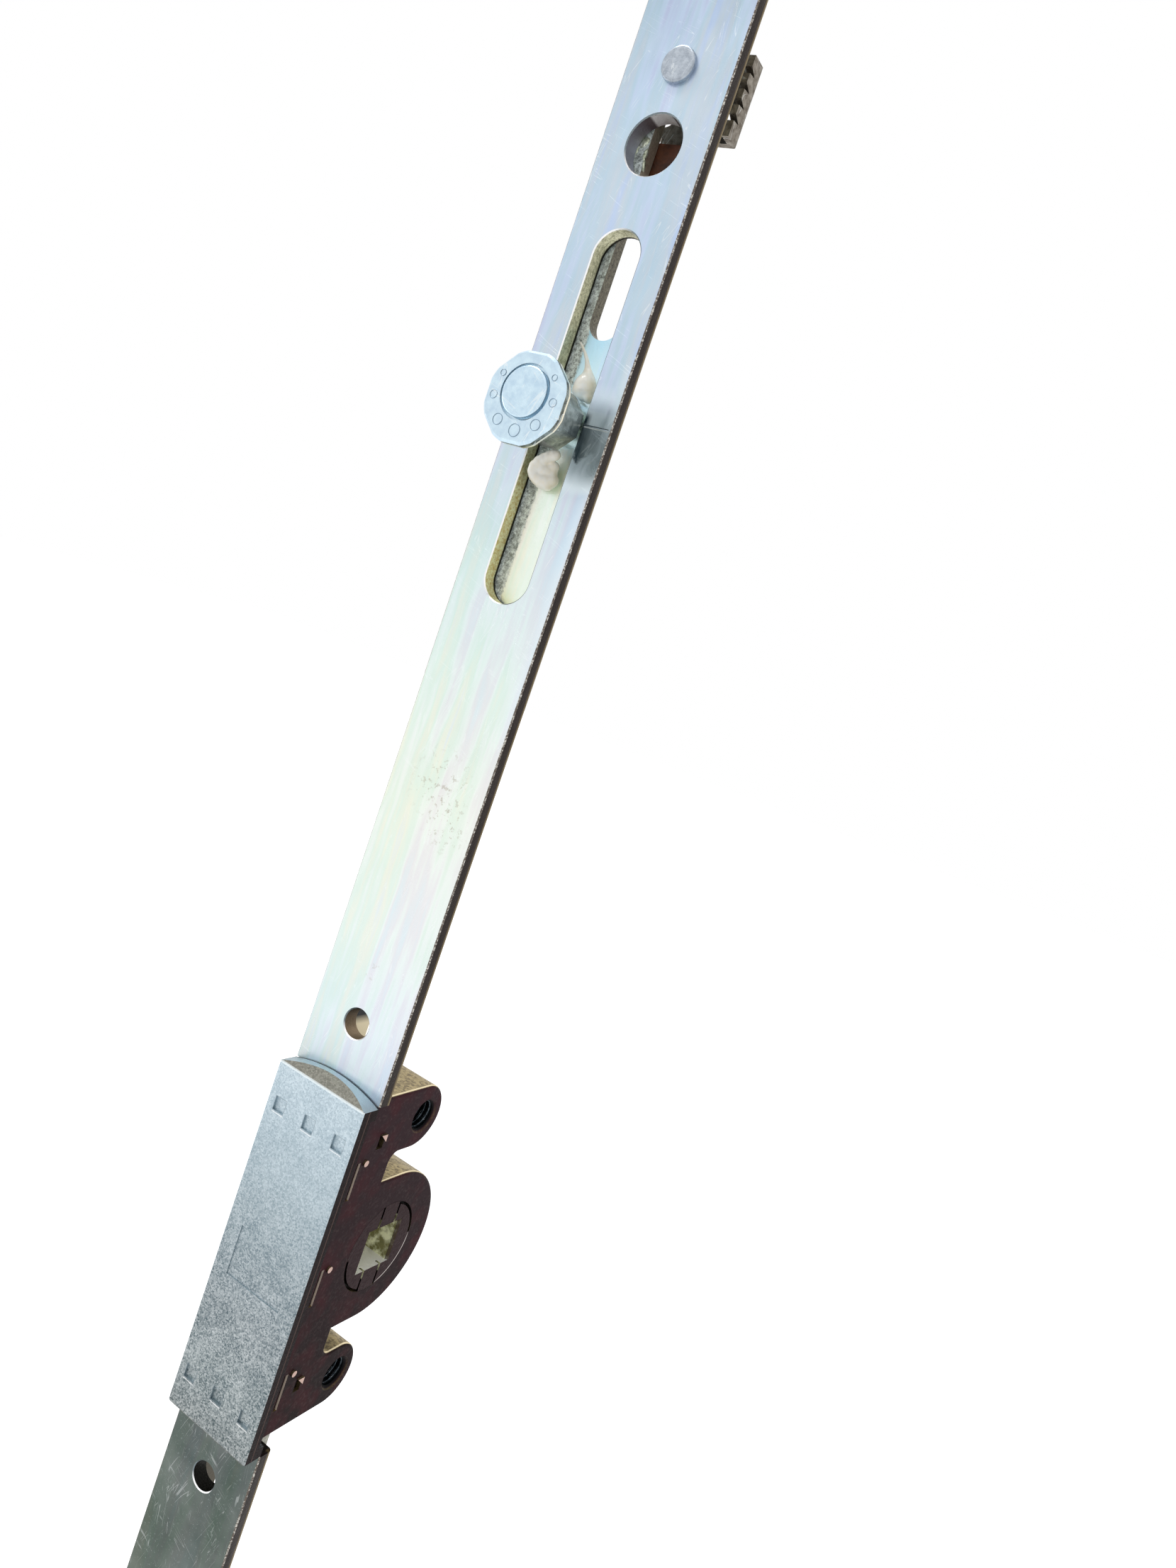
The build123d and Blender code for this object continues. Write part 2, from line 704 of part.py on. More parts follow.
def build():
    save_pair(upper_faceplate(), "faceplate")
    save(gearbox_cover(), "gearbox_cover")
    save_pair(upper_cover_stud(), "cover_stud")
    save(casing_body(), "casing_body")
    save(casing_side_plate(), "casing_side_plate")
    save_pair(upper_casing_dowel(), "casing_dowel")
    save(spindle_hub(), "spindle_hub")
    save(drive_gear(), "drive_gear")
    save(thrust_ring(-1), "left_thrust_ring")
    save(thrust_ring(1), "right_thrust_ring")
    save(drive_rack(), "drive_rack")
    save_pair(upper_rod(), "rod")
    save_pair(upper_rack_rivet(), "rack_rivet")
    save_pair(upper_guide_bracket(), "guide_bracket")
    save_pair(upper_guide_rivet(), "guide_rivet")
    save_pair(upper_guide_bush(), "guide_bush")
    save_pair(upper_guide_block(), "guide_block")
    for name, z in (("upper", cam_height), ("lower", -cam_height)):
        save(cam_pin(z), name + "_cam_pin")
        save(cam_washer(z), name + "_cam_washer")
        save(cam_head(z), name + "_cam_head")


build()
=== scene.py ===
import bpy
import bmesh
import math
from mathutils import Matrix, Vector, noise


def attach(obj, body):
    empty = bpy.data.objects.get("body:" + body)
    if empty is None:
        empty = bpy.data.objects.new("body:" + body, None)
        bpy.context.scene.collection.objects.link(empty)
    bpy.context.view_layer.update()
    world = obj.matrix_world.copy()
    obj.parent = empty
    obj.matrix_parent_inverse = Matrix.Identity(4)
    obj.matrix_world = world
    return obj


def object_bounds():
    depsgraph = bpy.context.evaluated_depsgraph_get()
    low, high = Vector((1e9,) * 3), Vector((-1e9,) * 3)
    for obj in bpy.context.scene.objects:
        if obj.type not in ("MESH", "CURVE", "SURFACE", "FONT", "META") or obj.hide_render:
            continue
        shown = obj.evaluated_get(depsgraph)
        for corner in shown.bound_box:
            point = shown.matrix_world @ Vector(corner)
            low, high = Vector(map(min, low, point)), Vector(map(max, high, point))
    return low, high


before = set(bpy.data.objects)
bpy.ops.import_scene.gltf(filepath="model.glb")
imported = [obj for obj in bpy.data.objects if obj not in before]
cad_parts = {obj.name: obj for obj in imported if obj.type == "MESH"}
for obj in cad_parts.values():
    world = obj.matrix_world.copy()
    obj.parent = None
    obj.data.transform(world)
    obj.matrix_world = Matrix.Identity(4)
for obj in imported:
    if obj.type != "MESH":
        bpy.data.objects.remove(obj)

cadBox = [list(corner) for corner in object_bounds()]
mm = 0.001
scene = bpy.context.scene
print("frame loaded:", len(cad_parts), "nodes")


def nodeBox(name):
    # lowest and highest corner of a node, in mm
    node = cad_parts[name]
    corners = [node.matrix_world @ Vector(corner) / mm for corner in node.bound_box]
    return [[round(pick(corner[axis] for corner in corners), 2) for axis in range(3)] for pick in (min, max)]


# places that several finishes and pieces share, from the spindle axis
faceFront = nodeBox("upper_faceplate")[0][1]
rodFace = nodeBox("upper_rod")[0][1]
pinLow, pinHigh = nodeBox("upper_cam_pin")
camHeight = round((pinLow[2] + pinHigh[2]) / 2, 2)
earHeight = 21.5


# Small tools

def shade(hexText):
    # a colour as it is seen, turned into the light values the shader wants
    parts = [int(hexText[i:i + 2], 16) / 255 for i in (0, 2, 4)]
    return tuple(c / 12.92 if c < 0.04045 else ((c + 0.055) / 1.055) ** 2.4 for c in parts) + (1.0,)


def addNode(tree, kind, inputs=None, **settings):
    node = tree.nodes.new(kind)
    for key, value in settings.items():
        setattr(node, key, value)
    for key, value in (inputs or {}).items():
        if isinstance(value, bpy.types.NodeSocket):
            tree.links.new(value, node.inputs[key])
        else:
            node.inputs[key].default_value = value
    return node


def calc(tree, operation, *values):
    # an operation on one value, or on several in turn
    result = values[0]
    for value in values[1:] or (0.0,):
        result = addNode(tree, "ShaderNodeMath", {0: result, 1: value}, operation=operation).outputs[0]
    return result


def times(tree, *values):
    return calc(tree, "MULTIPLY", *values)


def mixColour(tree, factor, a, b, blend="MIX"):
    # a and b are sockets or hex colours
    node = addNode(tree, "ShaderNodeMix", data_type="RGBA", blend_type=blend, clamp_factor=True)
    for socket, value in ((node.inputs[0], factor), (node.inputs[6], a), (node.inputs[7], b)):
        if isinstance(value, bpy.types.NodeSocket):
            tree.links.new(value, socket)
        else:
            socket.default_value = shade(value) if isinstance(value, str) else value
    return node.outputs[2]


def between(tree, value, low, high, soft):
    # 1 where low < value < high, with soft borders
    smooth = {"interpolation_type": "SMOOTHSTEP"}
    rise = addNode(tree, "ShaderNodeMapRange", {0: value, 1: low - soft, 2: low + soft}, **smooth)
    falling = {0: value, 1: high - soft, 2: high + soft, 3: 1.0, 4: 0.0}
    fall = addNode(tree, "ShaderNodeMapRange", falling, **smooth)
    return times(tree, rise.outputs[0], fall.outputs[0])


def stretch(tree, value, low, high, toLow=0.0, toHigh=1.0):
    return addNode(tree, "ShaderNodeMapRange", {0: value, 1: low, 2: high, 3: toLow, 4: toHigh}).outputs[0]


def ramp(tree, value, stops):
    # colours along a measured value
    low = stops[0][0]
    high = stops[-1][0]
    node = addNode(tree, "ShaderNodeValToRGB", {0: stretch(tree, value, low, high)})
    points = node.color_ramp.elements
    while len(points) < len(stops):
        points.new(0.5)
    for point, (place, colour) in zip(points, stops):
        point.position = (place - low) / (high - low)
        point.color = shade(colour)
    return node.outputs[0]


def scaled(tree, coordinate, sizes):
    return addNode(tree, "ShaderNodeVectorMath", {0: coordinate, 1: sizes}, operation="MULTIPLY").outputs[0]


def lengthOf(tree, parts):
    # length of a vector, from its parts: 0 is x, 1 is y and 2 is z
    vector = addNode(tree, "ShaderNodeCombineXYZ", parts).outputs[0]
    return addNode(tree, "ShaderNodeVectorMath", {0: vector}, operation="LENGTH").outputs["Value"]


def cloud(tree, coordinate, size, detail=3.0, rough=0.55, sizes=None):
    if sizes:
        coordinate = scaled(tree, coordinate, sizes)
    inputs = {"Vector": coordinate, "Scale": size, "Detail": detail, "Roughness": rough}
    return addNode(tree, "ShaderNodeTexNoise", inputs).outputs[0]


# the stretch of a noise's values that is spread out from 0 to 1
gentle = (0.3, 0.7)
clear = (0.35, 0.65)
# the parts of a face's direction between which it counts as edge on, or as flat on
edgeOnFrom = (0.8, 0.6)
flatOnFrom = (0.5, 0.75)


def newGroup(name, inputs, outputs):
    tree = bpy.data.node_groups.new(name, "ShaderNodeTree")
    for label, kind, value in inputs:
        socket = tree.interface.new_socket(name=label, in_out="INPUT", socket_type="NodeSocket" + kind)
        if value is not None:
            socket.default_value = value
    for label, kind in outputs:
        tree.interface.new_socket(name=label, in_out="OUTPUT", socket_type="NodeSocket" + kind)
    return tree, addNode(tree, "NodeGroupInput"), addNode(tree, "NodeGroupOutput")


def placeGroup(tree, group, inputs):
    return addNode(tree, "ShaderNodeGroup", inputs, node_tree=group)


# Shared effects

grainLook = {
    "fine": {"detail": 4.0, "rough": 0.75}, "fineAmount": 0.65, "crystal": 0.35,
    "toneFrom": (0.25, 0.75), "pits": 0.3,
}


def makeCastGrain():
    # sparkling crystal grain of a die casting: a bright and dark speckle, and a height
    tree, start, end = newGroup("castGrain", [("Vector", "Vector", None), ("Size", "Float", 3.0)],
                                [("Speck", "Float"), ("Height", "Float")])
    place = start.outputs["Vector"]
    size = start.outputs["Size"]
    fine = cloud(tree, place, size, **grainLook["fine"])
    crystal = addNode(tree, "ShaderNodeTexVoronoi", {"Vector": place, "Scale": size}, feature="F1")
    crystalTone = addNode(tree, "ShaderNodeSeparateColor", {0: crystal.outputs["Color"]}).outputs[0]
    crystalTone = times(tree, crystalTone, grainLook["crystal"])
    tone = calc(tree, "ADD", times(tree, fine, grainLook["fineAmount"]), crystalTone)
    tree.links.new(stretch(tree, tone, *grainLook["toneFrom"]), end.inputs["Speck"])
    height = calc(tree, "SUBTRACT", fine, times(tree, crystal.outputs["Distance"], grainLook["pits"]))
    tree.links.new(height, end.inputs["Height"])
    return tree


scratchLook = {
    # turn in radians, size and width of each set of scratches, which come in patches
    "sets": [(0.12, 0.35, 0.006), (-0.35, 0.22, 0.005), (1.2, 0.3, 0.004)],
    "waves": {"detail": 1.5, "rough": 0.4, "sizes": (3.0, 1.0, 0.18)},
    "patches": {"size": 0.35, "detail": 1.0}, "patchFrom": (0.52, 0.6),
}


def makeScratches():
    # long thin scratches, mostly along the length
    tree, start, end = newGroup("scratches", [("Vector", "Vector", None), ("Amount", "Float", 0.5)],
                                [("Mask", "Float")])
    masks = []
    for turn, size, width in scratchLook["sets"]:
        turned = addNode(tree, "ShaderNodeVectorRotate", {"Vector": start.outputs["Vector"], "Angle": turn},
                         rotation_type="Y_AXIS").outputs[0]
        wave = cloud(tree, turned, size, **scratchLook["waves"])
        line = calc(tree, "LESS_THAN", calc(tree, "ABSOLUTE", calc(tree, "SUBTRACT", wave, 0.5)), width)
        patch = stretch(tree, cloud(tree, turned, **scratchLook["patches"]), *scratchLook["patchFrom"])
        masks.append(times(tree, line, patch))
    mask = times(tree, calc(tree, "MAXIMUM", *masks), start.outputs["Amount"])
    tree.links.new(mask, end.inputs["Mask"])
    return tree


filmLook = {
    "streaks": {"size": 0.28, "rough": 0.6, "sizes": (1.0, 1.0, 0.09)},
    "tints": [(0.30, "DCEBFF"), (0.40, "F6E2F1"), (0.47, "FFFFFF"), (0.54, "E2F6E6"), (0.62, "FFF6DC"),
              (0.70, "E4ECFF")],
}


def makeRainbow():
    # pale pink, green and yellow film of zinc passivation, drawn out along the length
    tree, start, end = newGroup("rainbowFilm", [("Vector", "Vector", None), ("Base", "Color", (1, 1, 1, 1)),
                                                ("Strength", "Float", 0.5)], [("Color", "Color")])
    streak = cloud(tree, start.outputs["Vector"], **filmLook["streaks"])
    tint = ramp(tree, streak, filmLook["tints"])
    tinted = mixColour(tree, start.outputs["Strength"], start.outputs["Base"], tint, "MULTIPLY")
    tree.links.new(tinted, end.inputs["Color"])
    return tree


castGrain = makeCastGrain()
scratches = makeScratches()
rainbowFilm = makeRainbow()


class Finish:
    # one material with its usual starting nodes: place and direction on the piece, in mm
    def __init__(self, name, metallic=1.0, roughness=0.35):
        self.material = bpy.data.materials.new(name)
        self.material.use_nodes = True
        self.tree = self.material.node_tree
        self.shader = self.tree.nodes["Principled BSDF"]
        self.shader.inputs["Metallic"].default_value = metallic
        self.shader.inputs["Roughness"].default_value = roughness
        source = addNode(self.tree, "ShaderNodeTexCoord")
        self.place = scaled(self.tree, source.outputs["Object"], (1000, 1000, 1000))
        split = addNode(self.tree, "ShaderNodeSeparateXYZ", {0: self.place})
        self.x, self.y, self.z = split.outputs
        split = addNode(self.tree, "ShaderNodeSeparateXYZ", {0: source.outputs["Normal"]})
        self.nx, self.ny, self.nz = split.outputs

    def absolute(self, value):
        return calc(self.tree, "ABSOLUTE", value)

    def facing(self, value, low=0.55, high=0.8):
        return stretch(self.tree, value, low, high)

    def film(self, base, strength):
        inputs = {"Vector": self.place, "Base": base, "Strength": strength}
        return placeGroup(self.tree, rainbowFilm, inputs).outputs[0]

    def scratched(self, amount):
        return placeGroup(self.tree, scratches, {"Vector": self.place, "Amount": amount}).outputs[0]

    def grain(self, size):
        return placeGroup(self.tree, castGrain, {"Vector": self.place, "Size": size}).outputs

    def colour(self, socket):
        self.tree.links.new(socket, self.shader.inputs["Base Color"])

    def rough(self, socket):
        self.tree.links.new(socket, self.shader.inputs["Roughness"])

    def metal(self, socket):
        self.tree.links.new(socket, self.shader.inputs["Metallic"])

    def dull(self, level):
        self.shader.inputs["Specular IOR Level"].default_value = level

    def bump(self, height, depth, strength=1.0):
        # depth in mm
        inputs = {"Height": height, "Distance": depth * mm, "Strength": strength}
        node = addNode(self.tree, "ShaderNodeBump", inputs)
        self.tree.links.new(node.outputs[0], self.shader.inputs["Normal"])


# Finishes

stripLook = {
    # heights in mm of the tones beside the cam slot, and where they start and end across
    # painted light: a lighter tone where the metal mirrors the dark cam, and towards the right edge
    "start": (2.6, 3.6), "paintedLift": "EBF8FF", "faintLift": (112.5, 125.8), "faintAmount": 0.5,
    "fullLift": (112.5, 123.2), "edgeLift": (80.0, 129.0), "edge": (6.2, 7.4), "edgeAmount": 0.4,
    # the dark patch is partly rubbed and partly painted shade, and the foot is a painted shadow of the cam
    "patch": "364852", "raggedHeights": (116.9, 130.0), "ragged": 1.6, "patchHeights": (110.0, 121.1),
    "patchFade": (4.2, 7.4), "patchLeast": 0.1, "footShadowHeights": (121.0, 122.5), "footShadowReach": (4.6, 3.9),
    "scribe": "59646A", "scribeHeights": (121.05, 121.2), "scribeReach": (3.8, 7.5),
    "glint": "FBFFFF", "glintHeights": (120.8, 120.95),
    # the noise of the patch's border, and the brushed streaks in it
    "raggedNoise": {"size": 0.5}, "brushed": (0.8, 1.0),
    "brushes": {"size": 1.6, "detail": 4.0, "rough": 0.7, "sizes": (1.0, 1.0, 0.12)},
}


def paintStrip(f, front):
    # the stretch of the upper faceplate between the cam and its right edge
    look = stripLook
    t = f.tree
    rightOfSlot = stretch(t, f.x, *look["start"])
    # painted light: the metal mirrors the dark cam here, so a lighter tone is painted there and towards the
    # edge
    faint = times(t, between(t, f.z, *look["faintLift"], soft=1.2), look["faintAmount"])
    full = between(t, f.z, *look["fullLift"], soft=0.9)
    nearEdge = stretch(t, f.x, *look["edge"], 0.0, look["edgeAmount"])
    edge = times(t, between(t, f.z, *look["edgeLift"], soft=3.0), nearEdge)
    front = mixColour(t, times(t, calc(t, "MAXIMUM", faint, full, edge), rightOfSlot), front, look["paintedLift"])
    # dark patch under the scribed line, partly rubbed and partly painted shade of the mirrored cam sleeve,
    # and a painted shadow at the cam's foot
    ragged = stretch(t, cloud(t, f.place, **look["raggedNoise"]), *gentle, -look["ragged"], look["ragged"])
    ragged = between(t, calc(t, "ADD", f.z, ragged), *look["raggedHeights"], soft=0.7)
    under = between(t, f.z, *look["patchHeights"], soft=0.06)
    brushed = cloud(t, f.place, **look["brushes"])
    brushed = stretch(t, brushed, *gentle, *look["brushed"])
    patch = times(t, ragged, under, brushed, stretch(t, f.x, *look["patchFade"], 1.0, look["patchLeast"]))
    foot = times(t, between(t, f.z, *look["footShadowHeights"], soft=0.5), stretch(t, f.x, *look["footShadowReach"]))
    front = mixColour(t, times(t, calc(t, "MAXIMUM", patch, foot), rightOfSlot), front, look["patch"])
    # the scribed line, with a painted glint under it
    reach = between(t, f.x, *look["scribeReach"], soft=0.2)
    line = times(t, between(t, f.z, *look["scribeHeights"], soft=0.05), reach)
    front = mixColour(t, line, front, look["scribe"])
    glint = times(t, between(t, f.z, *look["glintHeights"], soft=0.05), reach)
    return mixColour(t, glint, front, look["glint"]), line


wallLook = {
    # darker and lighter tone of the slot's walls, and painted shade on their back
    "gold": ("D8C076", "FFFFDC"), "olive": ("A8A684", "F2F0D4"), "oliveFrom": (108.0, 122.0),
    "deep": "231F16", "deepFrom": (2.0, 2.2), "toneFrom": (0.35, 0.62),
    # the access hole
    "access": ("C4C6D6", "6E6466"), "accessHeights": (157.0, 160.0), "accessFrom": (150.0, 150.5),
    "glint": "FFFFFF", "glintFrom": (160.2, 160.5), "glintReach": (-1.9, 1.3),
    # the two screw holes beside the gearbox: painted light low and painted shade high, and darker in the
    # lower hole
    "screw": ("A08C72", "3A342E"), "screwHeights": (33.8, 36.8), "screwFrom": (60.0, 50.0),
    "lowerScrew": "30302C", "lowerFrom": (5.0, -5.0),
}


def paintWalls(f, depth, grain):
    # punched walls: gold and olive in the slot, grey in the access hole with a painted glint, and in the
    # screw holes painted light below and painted shade above
    look = wallLook
    t = f.tree
    tone = stretch(t, grain, *look["toneFrom"])
    wall = mixColour(t, stretch(t, f.z, *look["oliveFrom"]), mixColour(t, tone, *look["gold"]),
                     mixColour(t, tone, *look["olive"]))
    # painted shade on the back of the walls, by depth
    wall = mixColour(t, stretch(t, depth, *look["deepFrom"]), wall, look["deep"])
    access = mixColour(t, stretch(t, f.z, *look["accessHeights"]), *look["access"])
    glint = times(t, stretch(t, f.z, *look["glintFrom"]), between(t, f.x, *look["glintReach"], soft=0.2))
    access = mixColour(t, glint, access, look["glint"])
    wall = mixColour(t, stretch(t, f.z, *look["accessFrom"]), wall, access)
    # painted light low and painted shade high in the screw holes
    screw = mixColour(t, stretch(t, f.z, *look["screwHeights"]), *look["screw"])
    screw = mixColour(t, stretch(t, f.z, *look["lowerFrom"]), screw, look["lowerScrew"])
    return mixColour(t, stretch(t, f.z, *look["screwFrom"]), wall, screw)


plateLook = {
    # colours of the front by height, the plate's own tints with a painted light gradient, and of the rolled
    # sides by depth, painted dark as shade, in mm
    "front": [
        (-205, "B9C8D0"), (-120, "B4C4CA"), (-80, "8FA09E"), (-55, "5C6760"), (-40, "546059"),
        (-27, "525C5A"), (27, "CAD6DE"), (30, "D8E4EB"), (35, "E2EEF3"), (48, "ECF5F3"), (68, "F3F9F1"),
        (86, "EAF6F3"), (100, "E0EFF1"), (114, "CFDEEB"), (126, "C5D5E8"), (145, "C2D3E9"),
        (162, "C1D2E8"), (176, "B1C2D7"), (205, "A8B8CC"),
    ],
    "side": [(0.0, "2A2423"), (1.5, "3A322E"), (1.9, "8C7B58"), (2.5, "3A322E")],
    "back": "9DA9AE", "film": 0.42, "bloom": 0.1, "blooms": {"size": 0.12}, "bloomsFrom": (0.35, 0.7),
    # place across and in height, and radius, of each stain
    "stains": [((0.5, 71.0), 6.0), ((3.5, 66.0), 4.5), ((-0.3, 43.2), 1.6)],
    "stain": "B5AE9C", "stainAmount": 0.55, "stainCore": 0.3,
    "crumbs": {"size": 1.1, "detail": 4.0, "rough": 0.7}, "crumbsFrom": (0.56, 0.62),
    # the lower faceplate is dustier
    "lowerFrom": (-22.0, -26.0), "dust": "B9C4C2", "dustAmount": 0.3,
    "dusting": {"size": 3.2, "rough": 0.7}, "dustingFrom": (0.62, 0.7),
    "scratch": "FBFFFF", "scratches": (0.28, 0.2),
    # the outer sides, and the rims of the slot and of the outline
    "outerFrom": (7.3, 7.6), "rimDepth": (0.3, 0.2), "slotHeights": (90.0, 150.0),
    "rim": ("7C868A", "FFFFFF"), "outerRim": ("6A615A", "D5D2CA"),
    "speckles": {"size": 4.0, "rough": 0.7}, "specklesFrom": (0.5, 0.62),
    "slanted": (0.55, 0.85), "fromAbove": (0.15, 0.5), "fromRight": (-0.3, 0.3), "edgeOnFrom": (0.78, 0.6),
    "wear": {"size": 0.8, "rough": 0.6, "sizes": (1.0, 1.0, 0.2)},
    "roughness": (0.26, 0.4), "edgeRough": 0.15,
    # the height of the surface
    "ripples": {"size": 0.5, "rough": 0.6, "sizes": (1.0, 1.0, 0.15)}, "ripple": 0.5,
    "wallGrain": {"size": 3.0, "detail": 4.0, "rough": 0.7}, "edgeGrain": 1.2,
    "lineDepth": 0.3, "depth": 0.06,
}


def plateFinish():
    look = plateLook
    f = Finish("platedStrip", roughness=0.3)
    t = f.tree
    depth = calc(t, "SUBTRACT", f.y, faceFront)
    # the plate's own tints with a painted light gradient along its height
    front = f.film(ramp(t, f.z, look["front"]), look["film"])
    bloom = stretch(t, cloud(t, f.place, **look["blooms"]), *look["bloomsFrom"], 0.0, look["bloom"])
    front = mixColour(t, bloom, front, "FFFFFF")
    crumbs = stretch(t, cloud(t, f.place, **look["crumbs"]), *look["crumbsFrom"])
    for (x, z), radius in look["stains"]:
        offset = {0: f.place, 1: (x, faceFront, z)}
        away = addNode(t, "ShaderNodeVectorMath", offset, operation="DISTANCE").outputs["Value"]
        inside = stretch(t, away, radius, radius * look["stainCore"])
        front = mixColour(t, times(t, inside, crumbs, look["stainAmount"]), front, look["stain"])
    front, line = paintStrip(f, front)
    lower = stretch(t, f.z, *look["lowerFrom"])
    marks = f.scratched(stretch(t, f.z, *look["lowerFrom"], *look["scratches"]))
    front = mixColour(t, marks, front, look["scratch"])
    dust = stretch(t, cloud(t, f.place, **look["dusting"]), *look["dustingFrom"])
    front = mixColour(t, times(t, dust, lower, look["dustAmount"]), front, look["dust"])
    # walls, and outer sides painted dark as shade
    outer = stretch(t, f.absolute(f.x), *look["outerFrom"])
    wallGrain = cloud(t, f.place, **look["wallGrain"])
    edge = mixColour(t, outer, paintWalls(f, depth, wallGrain), ramp(t, depth, look["side"]))
    colour = mixColour(t, f.facing(f.ny), front, look["back"])
    edgeOn = f.facing(f.absolute(f.ny), *look["edgeOnFrom"])
    colour = mixColour(t, edgeOn, colour, edge)
    # rims are lit from the right in the slot, and from above elsewhere
    lit = mixColour(t, between(t, f.z, *look["slotHeights"], soft=1.0),
                    stretch(t, f.nz, *look["fromAbove"]), stretch(t, f.nx, *look["fromRight"]))
    speckled = stretch(t, cloud(t, f.place, **look["speckles"]), *look["specklesFrom"])
    rim = mixColour(t, outer, mixColour(t, lit, *look["rim"]), mixColour(t, speckled, *look["outerRim"]))
    slanted = between(t, f.absolute(f.ny), *look["slanted"], soft=0.05)
    slanted = times(t, slanted, stretch(t, depth, *look["rimDepth"]))
    f.colour(mixColour(t, slanted, colour, rim))
    wear = stretch(t, cloud(t, f.place, **look["wear"]), *gentle, *look["roughness"])
    f.rough(calc(t, "ADD", wear, times(t, edgeOn, look["edgeRough"])))
    ripple = cloud(t, f.place, **look["ripples"])
    rolled = times(t, wallGrain, edgeOn, look["edgeGrain"])
    height = calc(t, "ADD", times(t, ripple, look["ripple"]), rolled)
    height = calc(t, "SUBTRACT", height, times(t, calc(t, "ADD", marks, line), look["lineDepth"]))
    f.bump(height, look["depth"])
    return f.material


coverLook = {
    # colours of the front, by height in mm
    "front": [
        (-27, "7C8989"), (-22, "8E9D9F"), (-18, "94A4A7"), (-9, "92A1A7"), (5, "AABBC3"), (22, "C8DAE4"),
        (27, "CEE0EA"),
    ],
    # the grain shows more towards the lower end
    "grain": 4.6, "lowFrom": (12.0, -12.0), "darkSpeck": ("D9DCDE", "A9B0B4"), "lightSpeck": (0.2, 0.42),
    "worn": 0.2, "wornNoise": {"size": 0.22, "detail": 4.0, "rough": 0.6}, "wornFrom": (0.4, 0.66),
    # square dimples: places, half width of the painted shade outline, and the painted highlight line below
    # it
    "dimpleSpots": (-5.6, 0.0, 5.6), "dimpleHeight": 20.95, "outline": (1.0, 1.1), "line": "6E7E88",
    "lineAmount": 0.5, "below": (-1.34, -1.2), "belowReach": (1.1, 1.0), "belowAmount": 0.6,
    # the ends, by height, with painted shade at the arch's foot, and the outer sides painted near black as
    # shade
    "slopeFrom": (26.65, 26.75), "slope": ("62615A", "7C7B73"),
    "archFrom": (26.0, 26.5), "arch": "B7CAD2", "foot": "3E4A52", "footShadeFrom": (-0.3, -0.2),
    "sideFrom": (7.6, 7.8), "side": "1C1011", "stripe": "54403B", "stripeDepth": (-1.9, -1.7),
    # painted light: the dimples' walls are lighter against their shade
    "mark": "A9B7BE", "markBelow": (26.0, 25.8), "markWithin": (7.6, 7.5),
    "edge": "EEF5F6", "edgeDepth": (-2.9, -2.99), "edgeAmount": 0.6,
    # the directions of the arch, the outer sides, the dimples' walls and the lit edge
    "archFacing": (0.9, 0.97), "sideFacing": (0.8, 0.95), "markFacing": (-0.3, -0.1),
    "edgeSlant": (0.6, 0.97), "edgeFacing": (0.1, 0.3),
    "roughness": (0.5, 0.3), "dull": 0.05, "wave": {"size": 0.35, "detail": 2.0},
    "depth": 0.1, "strength": 0.6,
}


